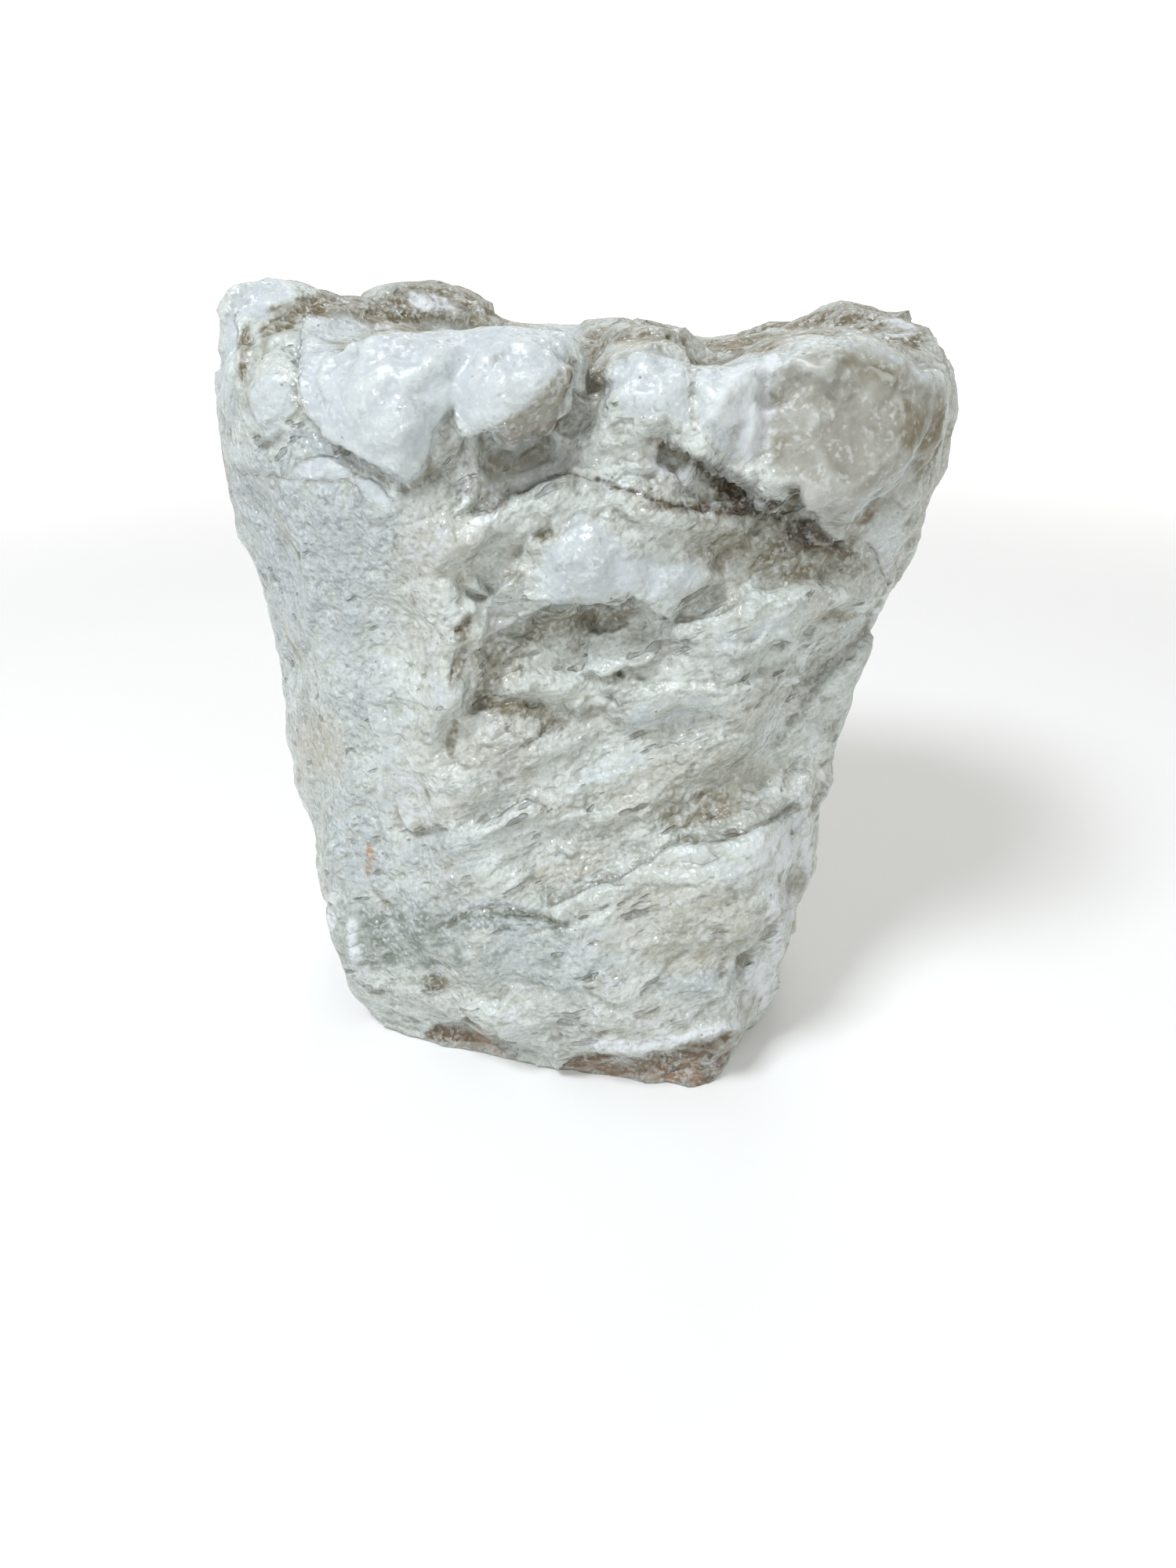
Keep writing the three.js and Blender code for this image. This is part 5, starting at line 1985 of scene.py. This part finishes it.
        # Paler wear and a painted highlight on the crests.
        colour = graph.mix(graph.step(fine, *self.crest), colour, self.pale)
        joint = graph.step(graph.attribute("crease"), *self.joint)
        joint = graph.times(joint, graph.step(ground.breakup, *self.joint_breaks))
        return graph.mix(joint, colour, self.dirt)

    def specks(self, ground: Ground, colour: Socket) -> Socket:
        """Scatters tiny dark specks of dirt.

        Args:
            ground: What the layers are worked out from.
            colour: What they lie on.

        Returns:
            The specked colour.
        """
        graph = ground.graph
        cells = graph.node("ShaderNodeTexVoronoi", {"Vector": ground.place, "Scale": self.speck_scale})
        chance = graph.node("ShaderNodeSeparateXYZ", {0: cells.outputs["Color"]}).outputs[0]
        spot = graph.step(cells.outputs["Distance"], *self.speck_size)
        return graph.mix(graph.times(graph.step(chance, *self.speck_chance), spot), colour, self.speck)

    def seams(self, ground: Ground, colour: Socket) -> Socket:
        """Draws the thin dark cracks and the dirt beside them.

        Args:
            ground: What the layers are worked out from.
            colour: What they are drawn on.

        Returns:
            The cracked colour.
        """
        graph = ground.graph
        inputs = {"Wander": ground.breakup, "Gaps": graph.noise(ground.place, self.seam_gaps)}
        for number in range(SEAM_LAYERS):
            for label in ("Offset", "Weight"):
                inputs[label] = graph.attribute(f"seam_{label.lower()}_{number}")
            crack = graph.node("ShaderNodeGroup", inputs, node_tree=ground.effects.crack).outputs
            colour = graph.mix(graph.times(crack["Stain"], self.seam_stain), colour, self.dirt)
            colour = graph.mix(crack["Line"], colour, self.crack_dirt)
        return colour


@dataclass(frozen=True)
class StudioFinish:
    """The plain pale paint of the studio's floor and wall."""

    name: str = "studio_paint"
    colour: Colour = paint(243, 244, 244)
    roughness: float = 0.9
    gloss: float = 0.1
    floor_glow: Colour = paint(80, 80, 80)
    wall_glow: Colour = paint(255, 255, 255)
    glow_rise: Rise = (0.6, 2.2)
    glow_strength: float = 1.1
    spill: Colour = (0.2, 0.19, 0.172, 1.0)

    def build(self) -> bpy.types.Material:
        """Makes the material.

        Returns:
            The material.
        """
        material = bpy.data.materials.new(self.name)
        material.use_nodes = True
        material.cycles.emission_sampling = "NONE"
        graph = Graph(material.node_tree)
        place = graph.node("ShaderNodeTexCoord").outputs["Object"]
        reach = graph.node("ShaderNodeVectorMath", {0: place}, operation="LENGTH").outputs["Value"]
        glow = graph.mix(graph.step(reach, *self.glow_rise), self.floor_glow, self.wall_glow)
        seen = graph.node("ShaderNodeLightPath").outputs["Is Camera Ray"]
        glow = graph.mix(seen, graph.mix(1.0, glow, self.spill, "MULTIPLY"), glow)
        inputs = {"Base Color": self.colour, "Roughness": self.roughness, "Emission Color": glow,
                  "Specular IOR Level": self.gloss, "Emission Strength": self.glow_strength}
        shader = graph.node("ShaderNodeBsdfPrincipled", inputs)
        graph.node("ShaderNodeOutputMaterial", {"Surface": shader.outputs[0]})
        return material


@dataclass(frozen=True)
class Lamp:
    """A soft square light: where it hangs, in degrees and metres, and how strong it is, in watts."""

    name: str
    azimuth: float
    elevation: float
    distance: float
    size: float
    power: float
    colour: Triple

    def hang(self, aim_height: float) -> None:
        """Hangs the light and turns it to the stone.

        Args:
            aim_height: How high the place is that it is turned to.
        """
        azimuth, elevation = math.radians(self.azimuth), math.radians(self.elevation)
        place = (
            self.distance * math.sin(azimuth) * math.cos(elevation),
            -self.distance * math.cos(azimuth) * math.cos(elevation),
            aim_height + self.distance * math.sin(elevation),
        )
        turn = (math.radians(90 - self.elevation), 0.0, azimuth)
        bpy.ops.object.light_add(type="AREA", location=place, rotation=turn)
        light = bpy.context.object
        light.name = self.name
        light.data.shape = "SQUARE"
        light.data.size = self.size
        light.data.energy = self.power
        light.data.color = self.colour


@dataclass(frozen=True)
class Studio:
    """A pale dish of a floor that curves up into a wall all round, with soft lights over it."""

    floor_radius: float = 2.4
    curve: float = 1.4
    wall: float = 1.6
    sides: int = 96
    curve_steps: int = 10
    aim_height: float = 0.16
    lamps: tuple[Lamp, ...] = (
        Lamp("key_light", -40, 54, 1.7, 0.45, 20.5, (0.95, 0.985, 1.04)),
        Lamp("fill_light", 42, 34, 2.2, 1.4, 4.6, (0.99, 0.985, 0.96)),
        Lamp("back_light", 170, 50, 2.2, 1.0, 9.0, (0.985, 0.995, 1.0)),
    )
    sky: Colour = paint(255, 252, 246)
    sky_strength: float = 0.24

    def build(self) -> bpy.types.Object:
        """Makes the floor and wall, the lights and the air.

        Returns:
            The floor.
        """
        floor = self.make_floor()
        for lamp in self.lamps:
            lamp.hang(self.aim_height)
        world = bpy.data.worlds.new("studio_air")
        world.use_nodes = True
        graph = Graph(world.node_tree)
        glow = graph.node("ShaderNodeBackground", {"Color": self.sky, "Strength": self.sky_strength})
        graph.node("ShaderNodeOutputWorld", {"Surface": glow.outputs[0]})
        bpy.context.scene.world = world
        bpy.context.scene.view_settings.view_transform = "Standard"
        return floor

    def make_floor(self) -> bpy.types.Object:
        """Draws the floor out into a curved wall.

        Returns:
            The floor.
        """
        bpy.ops.object.select_all(action="DESELECT")
        bpy.ops.mesh.primitive_circle_add(vertices=self.sides, radius=self.floor_radius, fill_type="NGON")
        floor = bpy.context.object
        floor.name = "studio_floor"
        bpy.ops.object.mode_set(mode="EDIT")
        bpy.ops.mesh.select_all(action="SELECT")
        bpy.ops.mesh.region_to_loop()
        radius, height = self.floor_radius, 0.0
        for number in range(1, self.curve_steps + 1):
            angle = number / self.curve_steps * math.pi / 2
            wider = self.floor_radius + self.curve * math.sin(angle)
            higher = self.curve * (1 - math.cos(angle))
            self.draw_out(wider / radius, higher - height)
            radius, height = wider, higher
        self.draw_out(1.0, self.wall)
        bpy.ops.object.mode_set(mode="OBJECT")
        bpy.ops.object.shade_smooth()
        return floor

    @staticmethod
    def draw_out(growth: float, lift: float) -> None:
        """Draws the chosen rim out into a new ring.

        Args:
            growth: How many times wider the ring is.
            lift: How far it is raised, in metres.
        """
        bpy.ops.mesh.extrude_edges_move()
        bpy.ops.transform.resize(value=(growth, growth, 1.0))
        bpy.ops.transform.translate(value=(0.0, 0.0, lift))


def main() -> None:
    """Builds the stone, then the studio round it."""
    logging.basicConfig(level=logging.INFO, format="%(message)s")
    view = FrontView()
    stone = AlabasterStone(view).build(frame["nodes"])
    stone.data.calc_loop_triangles()
    LOG.info("%s: %d triangles", stone.name, len(stone.data.loop_triangles))
    stone.data.materials.append(AlabasterFinish().build(StoneEffects()))
    floor = Studio().build()
    floor.data.materials.append(StudioFinish().build())
    LOG.info("%s: %d faces", floor.name, len(floor.data.polygons))
    view.make_camera()


if __name__ == "__main__":
    main()
